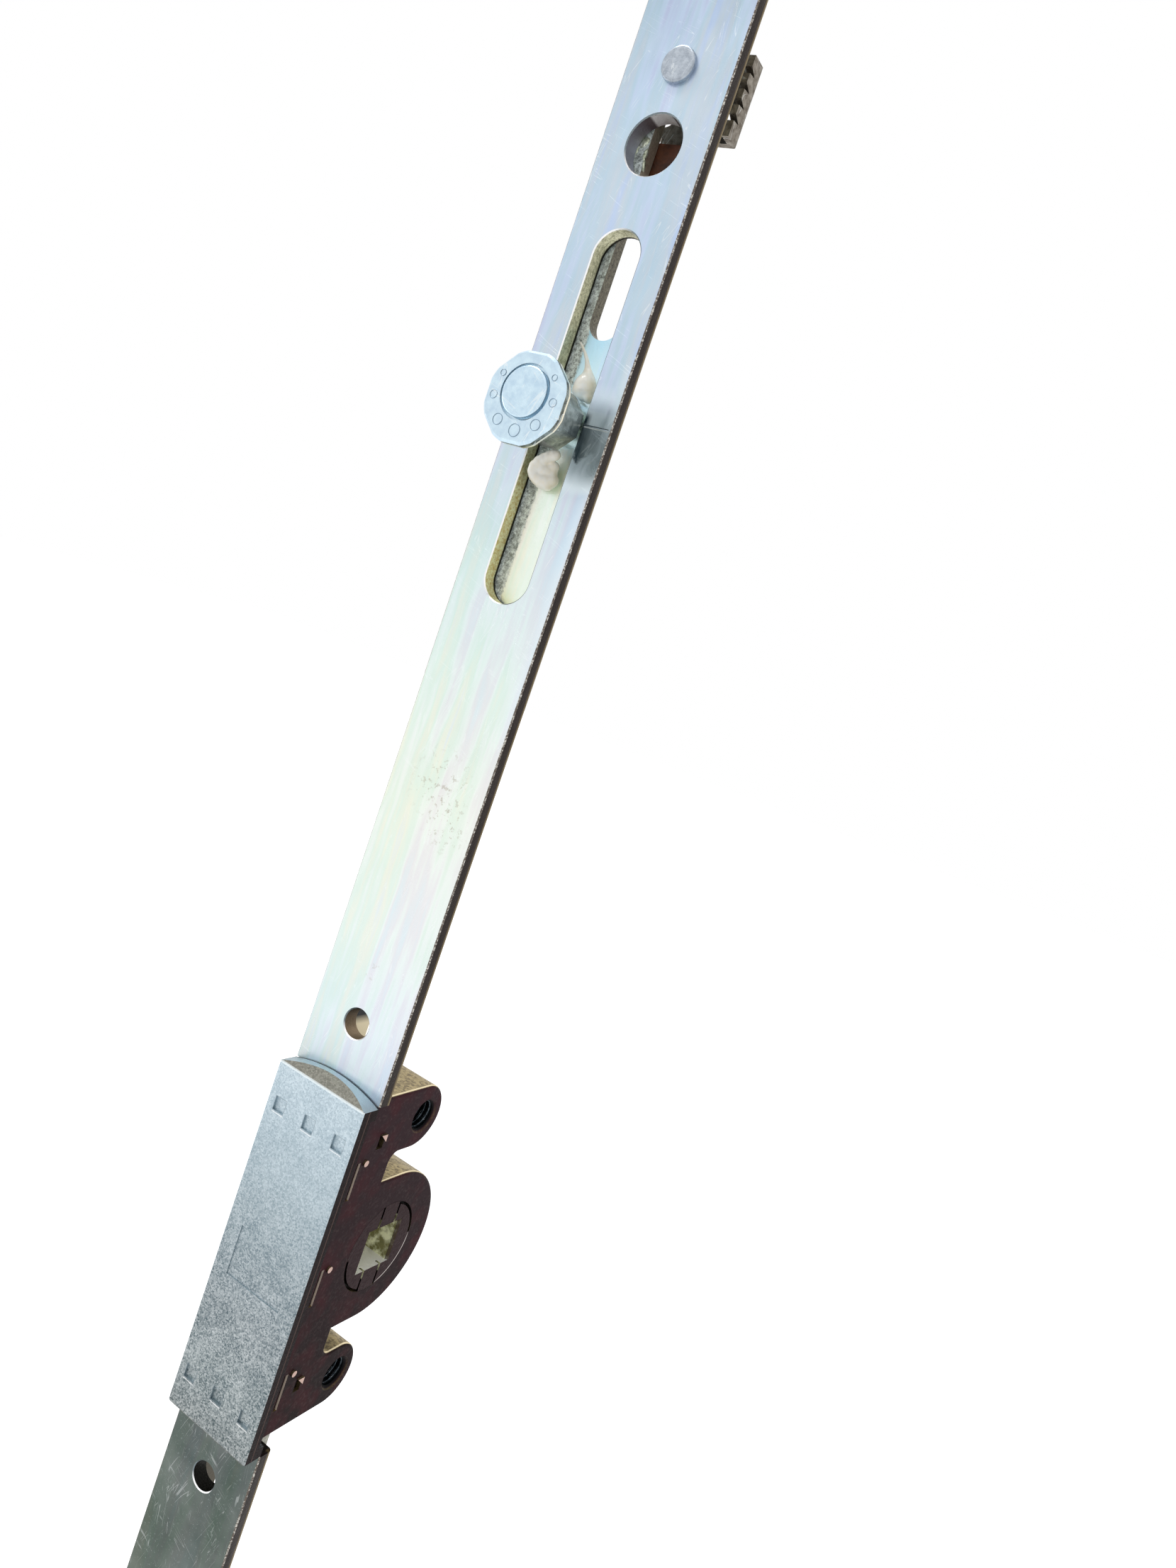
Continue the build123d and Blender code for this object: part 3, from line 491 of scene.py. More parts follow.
def coverFinish():
    look = coverLook
    f = Finish("castCover", roughness=0.38)
    t = f.tree
    depth = calc(t, "SUBTRACT", f.y, faceFront)
    high = f.absolute(f.z)
    grain = f.grain(look["grain"])
    base = ramp(t, f.z, look["front"])
    worn = stretch(t, cloud(t, f.place, **look["wornNoise"]), *look["wornFrom"], 0.0, look["worn"])
    speck = calc(t, "SUBTRACT", grain["Speck"], worn)
    darkSpeck = mixColour(t, stretch(t, f.z, *look["lowFrom"]), *look["darkSpeck"])
    dark = mixColour(t, 1.0, base, darkSpeck, "MULTIPLY")
    light = mixColour(t, stretch(t, f.z, *look["lowFrom"], *look["lightSpeck"]), base, "FFFFFF")
    front = mixColour(t, speck, dark, light)
    # painted shade as a fine dark line round each square dimple, and a painted highlight below it
    level = calc(t, "SUBTRACT", f.z, times(t, calc(t, "SIGN", f.z), look["dimpleHeight"]))
    for x in look["dimpleSpots"]:
        off = f.absolute(calc(t, "SUBTRACT", f.x, x))
        outline = between(t, calc(t, "MAXIMUM", off, f.absolute(level)), *look["outline"], soft=0.05)
        front = mixColour(t, times(t, outline, look["lineAmount"]), front, look["line"])
        below = times(t, between(t, level, *look["below"], soft=0.04), stretch(t, off, *look["belowReach"]))
        front = mixColour(t, times(t, below, look["belowAmount"]), front, "FFFFFF")
    # ramped and arched ends with painted shade at the arch's foot, and the outer sides painted dark as shade
    colour = mixColour(t, stretch(t, high, *look["slopeFrom"]), front, mixColour(t, speck, *look["slope"]))
    arch = times(t, f.facing(f.absolute(f.nz), *look["archFacing"]), stretch(t, high, *look["archFrom"]))
    wall = mixColour(t, stretch(t, depth, *look["footShadeFrom"]), look["arch"], look["foot"])
    colour = mixColour(t, arch, colour, wall)
    # painted shade: the outer sides are near black, with a lighter stripe
    outside = f.facing(f.absolute(f.nx), *look["sideFacing"])
    outside = times(t, outside, stretch(t, f.absolute(f.x), *look["sideFrom"]))
    stripe = between(t, depth, *look["stripeDepth"], soft=0.05)
    colour = mixColour(t, outside, colour, mixColour(t, stripe, look["side"], look["stripe"]))
    # walls of the dimples, painted lighter against their shade, and the lit edge of the front
    sunk = times(t, f.facing(f.ny, *look["markFacing"]), stretch(t, high, *look["markBelow"]),
                 stretch(t, f.absolute(f.x), *look["markWithin"]))
    colour = mixColour(t, sunk, colour, look["mark"])
    edge = between(t, f.absolute(f.ny), *look["edgeSlant"], soft=0.02)
    edge = times(t, edge, stretch(t, depth, *look["edgeDepth"]), f.facing(f.nz, *look["edgeFacing"]),
                 look["edgeAmount"])
    f.colour(mixColour(t, edge, colour, look["edge"]))
    f.metal(calc(t, "SUBTRACT", 1.0, outside))
    f.rough(stretch(t, grain["Speck"], 0.0, 1.0, *look["roughness"]))
    f.dull(look["dull"])
    wave = cloud(t, f.place, **look["wave"])
    f.bump(calc(t, "ADD", grain["Height"], wave), look["depth"], look["strength"])
    return f.material


caseLook = {
    # painted shade and reflection: the flat sides are dark maroon, darker lower, with a mirrored red
    "side": ("37252A", "1E1213"), "sideHeights": (25.0, -25.0), "mirroredRed": "4C1D24", "mirroredRedAmount": 0.5,
    "grain": 2.4, "speck": "8C7A74", "speckAmount": 0.08, "speckFrom": (0.62, 0.95),
    "mirroredReds": {"size": 0.2, "detail": 2.0}, "mirroredRedsFrom": (0.45, 0.65),
    # raised dots, and painted shade on the sunk floors of the sides, by distance from the middle
    "dot": "EBC9BC", "dotFrom": (6.05, 6.2), "deep": "0C0808", "deepFrom": (5.75, 5.65),
    "rim": ("776A52", "AF9E74"), "rimUnderShade": "4B423A", "rimEdgeHighlight": "F2E2BC",
    "slit": "F0DCCC", "slitFrom": (5.6, 5.78), "slitDepth": (-13.4, -12.0),
    "bore": "23282C", "boreRadius": (2.6, 2.5),
    # the rim's tones, the direction of its painted shade underneath and of its painted highlight on the
    # edge, and of the slits' walls
    "rimFrom": (0.1, 0.7), "lowFacing": (0.1, -0.4), "edgeAcross": (0.15, 0.6), "edgeFacing": (0.2, 0.5),
    "slitFacing": (-0.5, -0.7), "roughness": (0.5, 0.38), "dull": 0.04, "depth": 0.03, "strength": 0.4,
}


def caseFinish():
    look = caseLook
    f = Finish("castCasing", roughness=0.42)
    t = f.tree
    grain = f.grain(look["grain"])
    speck = grain["Speck"]
    # painted shade and reflection on the flat sides: dark maroon, darker lower, with patches of mirrored red
    side = mixColour(t, stretch(t, f.z, *look["sideHeights"]), *look["side"])
    tint = stretch(t, cloud(t, f.place, **look["mirroredReds"]), *look["mirroredRedsFrom"])
    side = mixColour(t, times(t, tint, look["mirroredRedAmount"]), side, look["mirroredRed"])
    flecks = stretch(t, speck, *look["speckFrom"], 0.0, look["speckAmount"])
    side = mixColour(t, flecks, side, look["speck"])
    away = f.absolute(f.x)
    side = mixColour(t, stretch(t, away, *look["dotFrom"]), side, look["dot"])
    # painted shade on the sunk floors
    side = mixColour(t, stretch(t, away, *look["deepFrom"]), side, look["deep"])
    rim = mixColour(t, stretch(t, speck, *look["rimFrom"]), *look["rim"])
    # painted shade under the rim, and a painted highlight on its upper edge
    rim = mixColour(t, f.facing(f.nz, *look["lowFacing"]), rim, look["rimUnderShade"])
    across = f.absolute(f.nx)
    bright = times(t, between(t, across, *look["edgeAcross"], soft=0.1), f.facing(f.nz, *look["edgeFacing"]))
    rim = mixColour(t, bright, rim, look["rimEdgeHighlight"])
    # painted highlight on the slits' far walls and painted shade inside them, and painted shade in the ear
    # holes
    farWall = times(t, between(t, f.y, *look["slitDepth"], soft=0.1), f.facing(f.ny, *look["slitFacing"]))
    slit = mixColour(t, stretch(t, away, *look["slitFrom"]), look["deep"], look["slit"])
    rim = mixColour(t, farWall, rim, slit)
    # painted shade in the ear holes
    fromHole = lengthOf(t, {1: f.y, 2: calc(t, "SUBTRACT", f.absolute(f.z), earHeight)})
    rim = mixColour(t, stretch(t, fromHole, *look["boreRadius"]), rim, look["bore"])
    flat = f.facing(across, *flatOnFrom)
    f.colour(mixColour(t, flat, rim, side))
    f.metal(calc(t, "SUBTRACT", 1.0, calc(t, "MAXIMUM", flat, farWall)))
    f.rough(stretch(t, speck, 0.0, 1.0, *look["roughness"]))
    f.dull(look["dull"])
    f.bump(grain["Height"], look["depth"], look["strength"])
    return f.material


plainLook = {
    "detail": 4.0, "rough": 0.65, "scratches": 0.4, "scratch": "F4F8F8",
    # how far the roughness goes up and down from its middle
    "duller": 0.1, "shinier": 0.06,
}


def plainMetal(name, light, dark, rough=0.35, size=1.5, depth=0.03):
    # plated or bare metal with a soft cloud of two tones, a grain and some scratches
    f = Finish(name, roughness=rough)
    t = f.tree
    tone = cloud(t, f.place, size, plainLook["detail"], plainLook["rough"])
    colour = mixColour(t, stretch(t, tone, *clear), dark, light)
    f.colour(mixColour(t, f.scratched(plainLook["scratches"]), colour, plainLook["scratch"]))
    f.rough(stretch(t, tone, *gentle, rough + plainLook["duller"], rough - plainLook["shinier"]))
    f.bump(tone, depth)
    return f.material


rodLook = {
    # colours of the front, by height above or below the spindle axis
    "front": [
        (80, "B4BEC0"), (92, "F6FFF4"), (104, "FAFFFA"), (114, "F6FFFA"), (122, "EAF4F4"), (128, "D4F0FF"),
        (134, "BEE4FF"), (150, "A9B9C4"),
    ],
    # a band along the left is painted shadow of the faceplate's wall, with coarser grit
    "film": 0.35, "wallShadow": ("848A84", "F6FFFA"), "wallShadowFrom": (-1.8, -2.1), "ragged": 0.25, "bandGrit": 1.5,
    "grit": 0.3, "back": ("98A2A6", "BCC6CA"), "walls": ("4A463E", "8A8574"),
    "paleWall": "C9C0AC", "paleFrom": (150.0, 154.0),
    "gritNoise": {"size": 2.4, "detail": 5.0, "rough": 0.75}, "wallShadowTone": (0.38, 0.62),
    "roughness": (0.42, 0.26), "depth": 0.12,
}


def rodFinish():
    look = rodLook
    f = Finish("greasedRod", roughness=0.3)
    t = f.tree
    grit = cloud(t, f.place, **look["gritNoise"])
    face = f.film(ramp(t, f.absolute(f.z), look["front"]), look["film"])
    # painted shadow of the faceplate's wall along the left, on coarser grit
    ragged = stretch(t, grit, *gentle, -look["ragged"], look["ragged"])
    leftSide = stretch(t, calc(t, "ADD", f.x, ragged), *look["wallShadowFrom"])
    face = mixColour(t, leftSide, face, mixColour(t, stretch(t, grit, *look["wallShadowTone"]), *look["wallShadow"]))
    back = mixColour(t, stretch(t, grit, *gentle), *look["back"])
    face = mixColour(t, f.facing(f.ny), face, back)
    walls = mixColour(t, stretch(t, grit, *clear), *look["walls"])
    walls = mixColour(t, stretch(t, f.z, *look["paleFrom"]), walls, look["paleWall"])
    f.colour(mixColour(t, f.facing(f.absolute(f.ny), *edgeOnFrom), face, walls))
    f.rough(stretch(t, grit, *gentle, *look["roughness"]))
    coarse = calc(t, "ADD", times(t, leftSide, look["bandGrit"]), look["grit"])
    f.bump(times(t, grit, coarse), look["depth"])
    return f.material


rackLook = {
    "steel": ("6F6E64", "A9A99D"), "tone": {"size": 1.2, "detail": 4.0, "rough": 0.65}, "depth": 0.03,
    # the slot's walls, seen through the two screw holes: painted light low and painted shade high, and
    # darker in the lower hole
    "hole": ("D2C6A8", "2C2E30"), "holeHeights": (33.9, 35.3), "slot": (3.2, 2.8),
    "lowerHole": "4A4436", "lowerFrom": (5.0, -5.0),
}


def rackFinish():
    look = rackLook
    f = Finish("rackSteel")
    t = f.tree
    tone = cloud(t, f.place, **look["tone"])
    steel = mixColour(t, stretch(t, tone, *clear), *look["steel"])
    # painted light low and painted shade high
    hole = mixColour(t, stretch(t, f.z, *look["holeHeights"]), *look["hole"])
    hole = mixColour(t, stretch(t, f.z, *look["lowerFrom"]), hole, look["lowerHole"])
    inSlot = times(t, stretch(t, f.absolute(f.x), *look["slot"]), f.facing(f.absolute(f.ny), *edgeOnFrom))
    f.colour(mixColour(t, inSlot, steel, hole))
    f.bump(tone, look["depth"])
    return f.material


hubLook = {
    # painted shade and reflection: the face is dark maroon like the casing's sides, with painted shade on
    # its sunk floors
    "face": ("301F22", "3A2729"), "deep": "0E0909", "deepFrom": (5.75, 5.55),
    # a painted highlight: the bright line round the face's lower front
    "glint": "E6DCD8", "glintRadius": (6.98, 7.08), "glintDepth": (1.5, 3.5), "glintBelow": (0.5, -1.0),
    # the square socket with painted light on its upward floor, and painted shade in the groove round the hub
    "inside": ("7F7C55", "F1F2D0"), "floor": "FFFFFF", "groove": (5.1, 5.3), "insideMetal": 0.45,
    "stains": {"size": 0.45, "detail": 4.0, "rough": 0.65}, "stainsFrom": (0.42, 0.58),
    "litFloorFacing": (0.5, 0.8), "grain": 2.2, "roughness": (0.45, 0.3), "dull": 0.04,
    "depth": 0.08, "strength": 0.7,
}


def hubFinish():
    look = hubLook
    f = Finish("castHub")
    t = f.tree
    grain = f.grain(look["grain"])
    stained = stretch(t, cloud(t, f.place, **look["stains"]), *look["stainsFrom"])
    inside = mixColour(t, stained, *look["inside"])
    # painted light on the socket's upward floor
    inside = mixColour(t, f.facing(f.nz, *look["litFloorFacing"]), inside, look["floor"])
    fromAxis = lengthOf(t, {1: f.y, 2: f.z})
    # painted shade in the groove round the hub
    inside = mixColour(t, stretch(t, fromAxis, *look["groove"]), inside, look["deep"])
    # painted shade and reflection: the face is dark maroon
    face = mixColour(t, grain["Speck"], *look["face"])
    glint = times(t, stretch(t, fromAxis, *look["glintRadius"]), stretch(t, f.y, *look["glintDepth"]),
                  stretch(t, f.z, *look["glintBelow"]))
    face = mixColour(t, glint, face, look["glint"])
    # painted shade on the face's sunk floors
    face = mixColour(t, stretch(t, f.absolute(f.x), *look["deepFrom"]), face, look["deep"])
    flat = f.facing(f.absolute(f.nx), *flatOnFrom)
    f.colour(mixColour(t, flat, inside, face))
    f.metal(stretch(t, flat, 0.0, 1.0, look["insideMetal"], 0.0))
    f.rough(stretch(t, grain["Speck"], 0.0, 1.0, *look["roughness"]))
    f.dull(look["dull"])
    f.bump(grain["Height"], look["depth"], look["strength"])
    return f.material


camLook = {
    "front": ("C4DAEA", "D4EAF6"), "back": "8C9898", "scratch": "F6FBFC", "scratches": 0.5,
    # round the side, by depth from the faceplate: the head's band, a bright line on it, and the sleeve
    "band": ("565B55", "8F9893"), "stripe": "F3EDD8", "stripeDepth": (-8.1, -7.8),
    "sleeve": ("727876", "A6ACA8"), "sleeveDepth": (-7.5, -7.3),
    # the recess round the pin, painted lighter against its shade
    "recessLightened": "DCE6EC", "recessRadius": (3.75, 3.68), "recessDepth": (-8.3, -8.4),
    "tone": {"size": 0.8, "detail": 4.0, "rough": 0.6}, "bands": {"size": 1.2}, "bandsFrom": (0.4, 0.6),
    "frontFacing": (0.55, 0.7), "roughness": (0.38, 0.24), "depth": 0.05,
}


def camFinish():
    look = camLook
    f = Finish("platedCam", roughness=0.3)
    t = f.tree
    depth = calc(t, "SUBTRACT", f.y, faceFront)
    tone = cloud(t, f.place, **look["tone"])
    soft = stretch(t, tone, *clear)
    band = mixColour(t, stretch(t, cloud(t, f.place, **look["bands"]), *look["bandsFrom"]), *look["band"])
    band = mixColour(t, between(t, depth, *look["stripeDepth"], soft=0.08), band, look["stripe"])
    sleeve = mixColour(t, soft, *look["sleeve"])
    around = mixColour(t, stretch(t, depth, *look["sleeveDepth"]), band, sleeve)
    fromPin = lengthOf(t, {0: f.x, 2: calc(t, "SUBTRACT", f.absolute(f.z), camHeight)})
    # painted light in the recess round the pin, against its shade
    inRecess = times(t, stretch(t, fromPin, *look["recessRadius"]), stretch(t, depth, *look["recessDepth"]))
    around = mixColour(t, inRecess, around, look["recessLightened"])
    front = mixColour(t, soft, *look["front"])
    colour = mixColour(t, f.facing(times(t, f.ny, -1.0), *look["frontFacing"]), around, front)
    colour = mixColour(t, f.facing(f.ny), colour, look["back"])
    f.colour(mixColour(t, f.scratched(look["scratches"]), colour, look["scratch"]))
    f.rough(stretch(t, tone, *gentle, *look["roughness"]))
    f.bump(tone, look["depth"])
    return f.material


plasticLook = {
    "brown": ("3A1C0E", "64351A"), "tone": {"size": 0.9, "detail": 4.0, "rough": 0.6}, "depth": 0.04,
}


def plasticFinish():
    look = plasticLook
    f = Finish("brownPlastic", metallic=0.0, roughness=0.45)
    t = f.tree
    tone = cloud(t, f.place, **look["tone"])
    f.colour(mixColour(t, stretch(t, tone, *gentle), *look["brown"]))
    f.bump(tone, look["depth"])
    return f.material


greaseLook = {
    "white": ("FCF6E6", "FFFFFA"), "tone": {"size": 0.8, "rough": 0.6},
    "waves": {"size": 1.2, "detail": 1.0}, "depth": 0.03,
}


def greaseFinish():
    look = greaseLook
    f = Finish("whiteGrease", metallic=0.0, roughness=0.15)
    t = f.tree
    tone = cloud(t, f.place, **look["tone"])
    f.colour(mixColour(t, stretch(t, tone, *clear), *look["white"]))
    f.bump(cloud(t, f.place, **look["waves"]), look["depth"])
    return f.material


finishes = {
    "faceplate": plateFinish(),
    "cover": coverFinish(),
    "case": caseFinish(),
    "hub": hubFinish(),
    "rod": rodFinish(),
    "rack": rackFinish(),
    "gear": plainMetal("gearSteel", "A9A99D", "6F6E64", size=1.2),
    "rivet": plainMetal("rivetZinc", "B8C0C9", "99A1AB", rough=0.38, size=1.4, depth=0.05),
    "bracket": plainMetal("bracketZinc", "9A9388", "685F54", rough=0.42, size=1.0, depth=0.06),
    # painted shade: the ear holes' threads are dark
    "thread": plainMetal("threadShade", "596269", "1A1E22", rough=0.32),
    "mark": plainMetal("camMark", "93A7B6", "75899A"),
    "burr": plainMetal("rodBurr", "D8DEC6", "8F9580", rough=0.45, size=2.6, depth=0.08),
    "pin": plainMetal("pinSteel", "A9ADB0", "80868A", rough=0.3, size=1.2),
    "camPin": plainMetal("camPinZinc", "D6ECF8", "C2DAEB", rough=0.3, size=0.9, depth=0.06),
    "cam": camFinish(),
    "plastic": plasticFinish(),
    "grease": greaseFinish(),
}
singleNodes = {
    "cover": ["gearbox_cover"],
    "case": ["casing_body", "casing_side_plate"],
    "hub": ["spindle_hub"],
    "gear": ["drive_gear", "left_thrust_ring", "right_thrust_ring"],
    "rack": ["drive_rack"],
}
# these come as an upper and a lower piece
twinNodes = {
    "faceplate": ["faceplate"],
    "rod": ["rod"],
    "pin": ["cover_stud", "casing_dowel"],
    "rivet": ["rack_rivet", "guide_rivet", "guide_bush", "cam_washer"],
    "bracket": ["guide_bracket"],
    "plastic": ["guide_block"],
    "camPin": ["cam_pin"],
    "cam": ["cam_head"],
}


def giveFinish(nodeName, finishName):
    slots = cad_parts[nodeName].data.materials
    slots.clear()
    slots.append(finishes[finishName])


for finishName, nodeNames in singleNodes.items():
    for nodeName in nodeNames:
        giveFinish(nodeName, finishName)
for finishName, endings in twinNodes.items():
    for ending in endings:
        giveFinish("upper_" + ending, finishName)
        giveFinish("lower_" + ending, finishName)
print("finishes done:", len(bpy.data.materials))


# Pieces that only the looks need

def finishPiece(bm, name, finish, body):
    bmesh.ops.recalc_face_normals(bm, faces=bm.faces[:])
    mesh = bpy.data.meshes.new(name)
    bm.to_mesh(mesh)
    bm.free()
    piece = bpy.data.objects.new(name, mesh)
    scene.collection.objects.link(piece)
    for polygon in mesh.polygons:
        polygon.use_smooth = True
    mesh.materials.append(finishes[finish])
    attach(piece, body)
    return piece


thread = {
    # radii and start along X, with the flank as a share of the pitch
    "root": 2.27, "crest": 2.03, "start": -5.2, "pitch": 0.8, "flank": 0.42, "turns": 13, "stepsPerTurn": 24,
}


def makeThread(side):
    # the M5 thread inside an ear hole, spun as one helix along X
    bm = bmesh.new()
    half = thread["pitch"] * thread["flank"]
    corners = [(thread["start"] - half, thread["root"]), (thread["start"], thread["crest"]),
               (thread["start"] + half, thread["root"])]
    z = side * earHeight
    verts = [bm.verts.new((x * mm, 0, (z + r) * mm)) for x, r in corners]
    face = bm.faces.new(verts)
    steps = thread["turns"] * thread["stepsPerTurn"]
    shift = Vector((thread["pitch"] / thread["stepsPerTurn"] * mm, 0, 0))
    bmesh.ops.spin(bm, geom=verts + list(face.edges) + [face], cent=(0, 0, z * mm), axis=(1, 0, 0),
                   dvec=shift, angle=math.tau * thread["turns"], steps=steps, use_merge=False,
                   use_duplicate=False)
    return bm


for name, side in (("upperThread", 1), ("lowerThread", -1)):
    finishPiece(makeThread(side), name, "thread", "gearcase")

markRings = {
    # place around the pin in degrees, and radius of each small ring
    "rings": [(153, 0.4), (190, 0.52), (234, 0.7), (274, 0.8), (313, 0.7), (357, 0.52), (37, 0.38)],
    "reach": 4.5, "width": 0.13, "proud": 0.05, "centreHeight": 121.0, "steps": 28,
    "face": nodeBox("upper_cam_head")[0][1], "merge": 0.002,
}


def makeMarks(z):
    bm = bmesh.new()
    half = markRings["width"] / 2
    sunk = markRings["face"] + markRings["proud"]
    top = markRings["face"] - markRings["proud"]
    for angle, radius in markRings["rings"]:
        x = markRings["reach"] * math.cos(math.radians(angle))
        middle = z + markRings["reach"] * math.sin(math.radians(angle))
        profile = [(radius - half, sunk), (radius - half / 2, top),
                   (radius + half / 2, top), (radius + half, sunk)]
        verts = [bm.verts.new(((x + r) * mm, y * mm, middle * mm)) for r, y in profile]
        edges = [bm.edges.new((verts[i], verts[(i + 1) % 4])) for i in range(4)]
        bmesh.ops.spin(bm, geom=verts + edges, cent=(x * mm, 0, middle * mm), axis=(0, 1, 0), dvec=(0, 0, 0),
                       angle=math.tau, steps=markRings["steps"], use_merge=True, use_duplicate=False)
    bmesh.ops.remove_doubles(bm, verts=bm.verts[:], dist=markRings["merge"] * mm)
    return bm


upperMarks = makeMarks(markRings["centreHeight"])
lowerMarks = makeMarks(markRings["centreHeight"] - 2 * camHeight)
finishPiece(upperMarks, "upperCamMarks", "mark", "upper_cam")
finishPiece(lowerMarks, "lowerCamMarks", "mark", "lower_cam")

# lobes are joined, roughened by a broad wave and a fine one, and relaxed
blobLook = {"subdivisions": 4, "wave": 0.9, "ripple": 2.3, "relaxSteps": 14, "relaxFactor": 0.6}


def makeBlob(lobes, seed, rough):
    # each lobe has a place, three radii and a turn about Y in degrees
    bm = bmesh.new()
    for place, sizes, turn in lobes:
        move = Matrix.Translation(Vector(place) * mm) @ Matrix.Rotation(math.radians(turn), 4, "Y")
        move = move @ Matrix.Diagonal([size * mm for size in sizes] + [1.0])
        bmesh.ops.create_icosphere(bm, subdivisions=blobLook["subdivisions"], radius=1.0, matrix=move)
    for vert in bm.verts:
        point = vert.co / mm
        push = noise.noise(point * blobLook["wave"] + Vector((seed, 0, 0))) * rough * 2
        push += noise.noise(point * blobLook["ripple"]) * rough
        vert.co += vert.normal * push * mm
    return bm


def finishBlob(bm, name, finish, body, voxel=0.12):
    piece = finishPiece(bm, name, finish, body)
    remesh = piece.modifiers.new("joined", "REMESH")
    remesh.mode = "VOXEL"
    remesh.voxel_size = voxel * mm
    relax = piece.modifiers.new("relaxed", "SMOOTH")
    relax.iterations = blobLook["relaxSteps"]
    relax.factor = blobLook["relaxFactor"]
    graph = bpy.context.evaluated_depsgraph_get()
    mesh = bpy.data.meshes.new_from_object(piece.evaluated_get(graph))
    piece.modifiers.clear()
    piece.data = mesh
    for polygon in mesh.polygons:
        polygon.use_smooth = True


greaseDrop = {
    # height of the foot, and rise, number and depth of the lobes
    "foot": 125.9, "height": 6.0, "steps": 18, "proud": 1.4, "thin": 0.2, "sinkFrom": 0.1, "sinkOver": 0.38,
    # the widest radius, the tip's, and how early and how sharply it narrows
    "radius": 1.6, "tip": 0.12, "neck": 0.36, "pinch": 2.4, "flat": 0.8, "least": 0.35,
    # start across, with the straight and the curved part of its lean
    "start": 0.25, "slant": 0.9, "curl": 2.1,
    "feet": [
        ((0.7, rodFace + 0.2, 125.6), (1.15, 1.5, 0.9), 0),
        ((1.25, rodFace + 0.2, 125.1), (0.7, 1.3, 0.7), 0),
    ],
}


def dropLobes():
    # a horn of lobes that leans to the left towards its thin tip
    drop = greaseDrop
    lobes = list(drop["feet"])
    for step in range(drop["steps"]):
        t = step / (drop["steps"] - 1)
        x = drop["start"] - drop["slant"] * t - drop["curl"] * t ** 3
        lean = math.degrees(math.atan2(-drop["slant"] - 3 * drop["curl"] * t ** 2, drop["height"]))
        radius = drop["tip"] + drop["radius"] / (1 + (t / drop["neck"]) ** drop["pinch"])
        fade = min(max((t - drop["sinkFrom"]) / drop["sinkOver"], 0.0), 1.0)
        depth = drop["thin"] * 2 + drop["proud"] * (1 - fade * fade * (3 - 2 * fade))
        place = (x, rodFace + drop["thin"], drop["foot"] + drop["height"] * t)
        lobes.append((place, (radius, depth, max(radius * drop["flat"], drop["least"])), lean))
    return lobes


# x, z, radius and depth in the slot of each lobe of the ribbon under the cam
greaseRibbon = [
    (0.6, 116.6, 0.8, 0.5), (-0.1, 116.25, 0.8, 0.5), (-0.8, 115.8, 0.8, 0.5), (-1.4, 115.25, 0.85, 0.55),
    (-1.85, 114.6, 0.9, 0.7), (-2.0, 114.0, 0.92, 0.9), (-1.8, 113.55, 0.9, 1.1), (-1.35, 113.3, 0.98, 1.3),
    (-0.7, 113.15, 1.1, 1.5), (0.0, 113.15, 1.15, 1.7), (0.5, 113.5, 1.0, 1.8), (-0.7, 114.5, 1.0, 1.3),
    (0.1, 114.3, 1.0, 1.7), (0.3, 115.2, 0.8, 1.6),
]
ribbonLobes = [((x, faceFront + depth, z), (radius,) * 3, 0) for x, z, radius, depth in greaseRibbon]
# lobes of the rod's torn edge, seen through the access hole
tornEdge = [
    ((-4.4, rodFace + 0.1, 157.5), (0.5, 0.32, 0.95), -20),
    ((-3.4, rodFace + 0.1, 158.5), (0.65, 0.34, 0.8), 35),
    ((-2.6, rodFace + 0.1, 157.0), (0.25, 0.3, 0.9), 5),
    ((-2.3, rodFace + 0.1, 155.6), (0.2, 0.3, 0.8), -10),
]
dropShape = makeBlob(dropLobes(), seed=3.0, rough=0.02)
finishBlob(dropShape, "upperGreaseDrop", "grease", "drive_rod")
ribbonShape = makeBlob(ribbonLobes, seed=7.0, rough=0.03)
finishBlob(ribbonShape, "upperGreaseSmear", "grease", "drive_rod")
burrShape = makeBlob(tornEdge, seed=5.0, rough=0.1)
finishBlob(burrShape, "upperRodBurr", "burr", "drive_rod", voxel=0.08)


# Stage, light and camera

# the floor's own light, as it is seen and as it is mirrored, with its tone, size and gap under the part
floorLook = {"seen": 0.64, "mirrored": 0.32, "tone": (0.8, 0.8, 0.8, 1.0), "size": 4.0, "gap": 0.0005}
white = (1, 1, 1, 1)


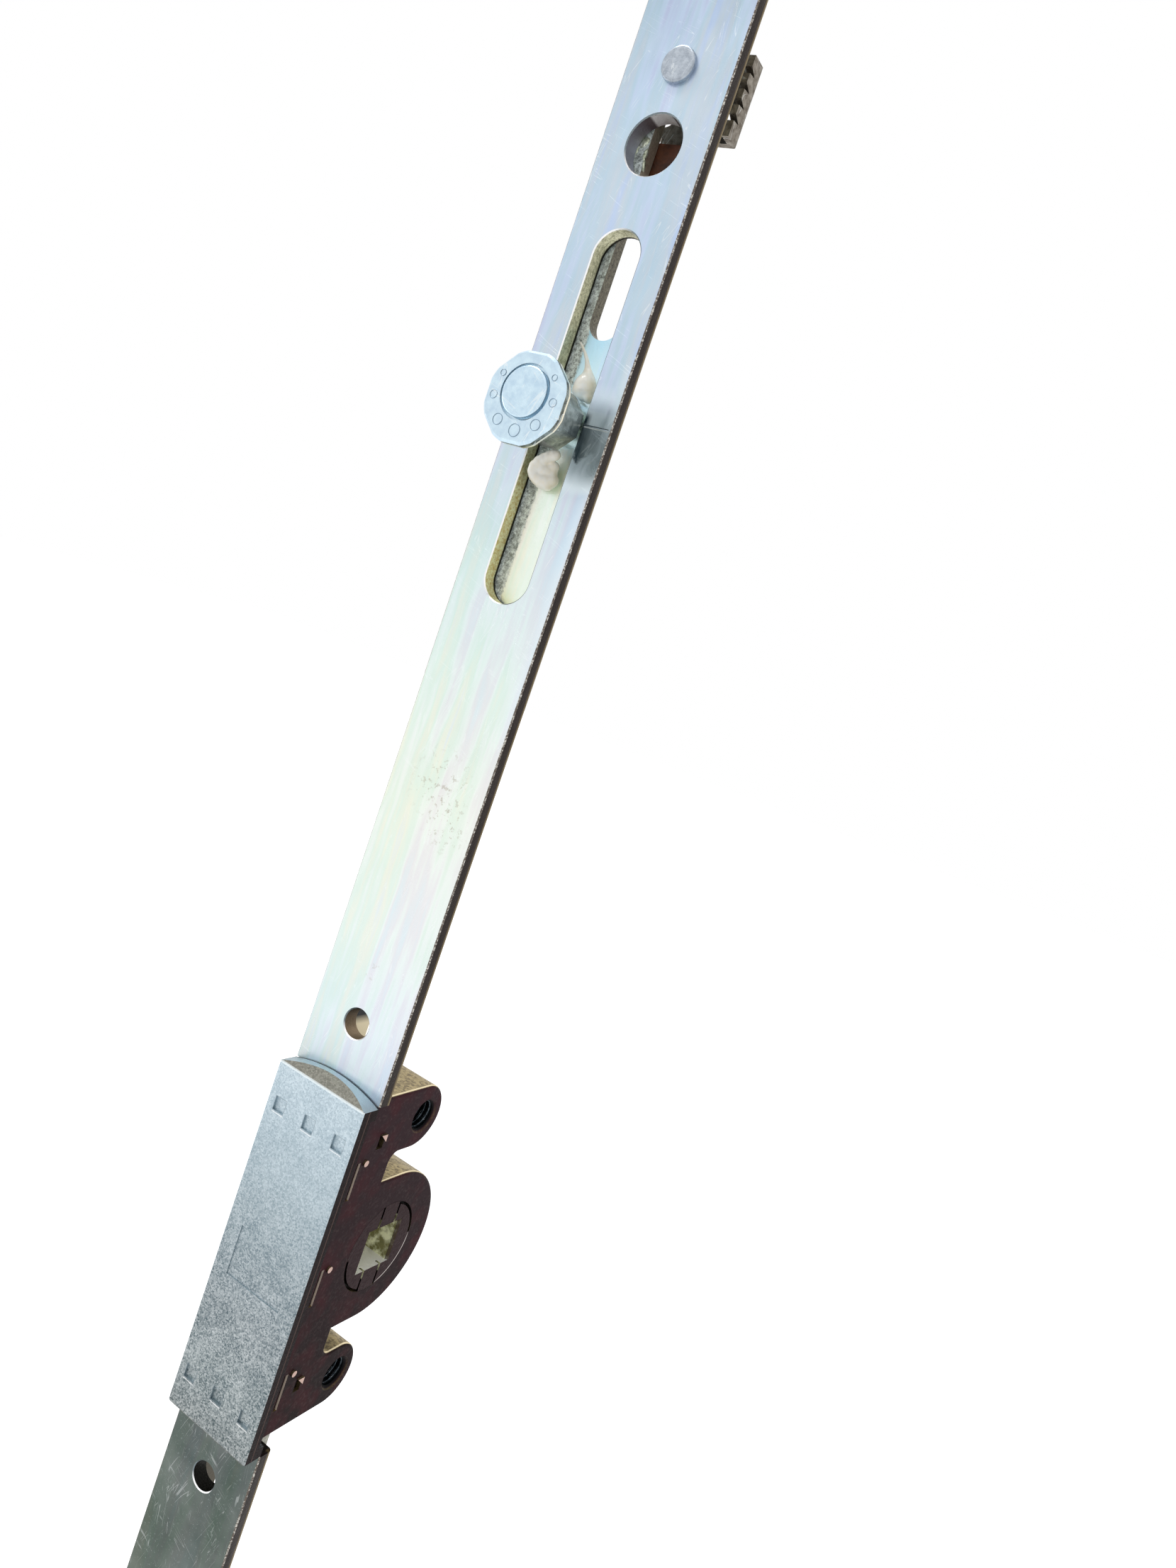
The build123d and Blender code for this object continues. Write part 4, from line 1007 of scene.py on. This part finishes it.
def makeStage():
    floor = bpy.data.materials.new("paleFloor")
    floor.use_nodes = True
    tree = floor.node_tree
    tree.nodes.clear()
    rays = addNode(tree, "ShaderNodeLightPath")
    seen = times(tree, rays.outputs["Is Camera Ray"], floorLook["seen"])
    seen = calc(tree, "ADD", seen, times(tree, rays.outputs["Is Glossy Ray"], floorLook["mirrored"]))
    body = addNode(tree, "ShaderNodeBsdfDiffuse", {"Color": floorLook["tone"]})
    glow = addNode(tree, "ShaderNodeEmission", {"Color": white, "Strength": seen})
    both = addNode(tree, "ShaderNodeAddShader", {0: body.outputs[0], 1: glow.outputs[0]})
    addNode(tree, "ShaderNodeOutputMaterial", {"Surface": both.outputs[0]})
    bm = bmesh.new()
    bmesh.ops.create_grid(bm, x_segments=4, y_segments=4, size=floorLook["size"])
    bmesh.ops.translate(bm, verts=bm.verts[:], vec=(0, 0, cadBox[0][2] - floorLook["gap"]))
    mesh = bpy.data.meshes.new("floor")
    bm.to_mesh(mesh)
    bm.free()
    piece = bpy.data.objects.new("floor", mesh)
    mesh.materials.append(floor)
    scene.collection.objects.link(piece)


def makeWorld(level):
    world = bpy.data.worlds.new("paleRoom")
    scene.world = world
    world.use_nodes = True
    tree = world.node_tree
    tree.nodes.clear()
    rays = addNode(tree, "ShaderNodeLightPath").outputs
    seen = calc(tree, "MAXIMUM", rays["Is Camera Ray"], rays["Is Glossy Ray"], rays["Is Transmission Ray"])
    strength = stretch(tree, seen, 0.0, 1.0, level, 1.0)
    sky = addNode(tree, "ShaderNodeBackground", {"Color": white, "Strength": strength})
    addNode(tree, "ShaderNodeOutputWorld", {"Surface": sky.outputs[0]})


def makeLamp(name, place, target, size, power):
    data = bpy.data.lights.new(name, "AREA")
    data.shape = "DISK"
    data.size = size
    data.energy = power
    lamp = bpy.data.objects.new(name, data)
    lamp.location = place
    lamp.rotation_euler = (Vector(target) - Vector(place)).to_track_quat("-Z", "Y").to_euler()
    scene.collection.objects.link(lamp)


view = {
    "place": (0.087608, -0.141586, 0.093147), "lens": 35.07, "sensor": 36.0, "near": 0.005,
    "right": (0.8197, 0.4680, 0.3302), "down": (0.3391, 0.0682, -0.9383),
}


def makeCamera():
    right = Vector(view["right"]).normalized()
    up = -Vector(view["down"])
    up = (up - up.dot(right) * right).normalized()
    back = right.cross(up)
    turn = Matrix((right, up, back)).transposed().to_4x4()
    data = bpy.data.cameras.new("camera")
    data.sensor_fit = "HORIZONTAL"
    data.sensor_width = view["sensor"]
    data.lens = view["lens"]
    data.clip_start = view["near"]
    camera = bpy.data.objects.new("camera", data)
    camera.matrix_world = Matrix.Translation(view["place"]) @ turn
    scene.collection.objects.link(camera)
    scene.camera = camera


makeStage()
makeWorld(level=0.75)
lampTarget = (0, 0, 0.06)
makeLamp("key", (-0.5, -0.3, 1.05), lampTarget, size=0.45, power=4.0)
makeLamp("fill", (-0.9, -0.2, -0.1), lampTarget, size=0.5, power=1.0)
makeCamera()
scene.view_settings.view_transform = "Standard"
print("stage done")
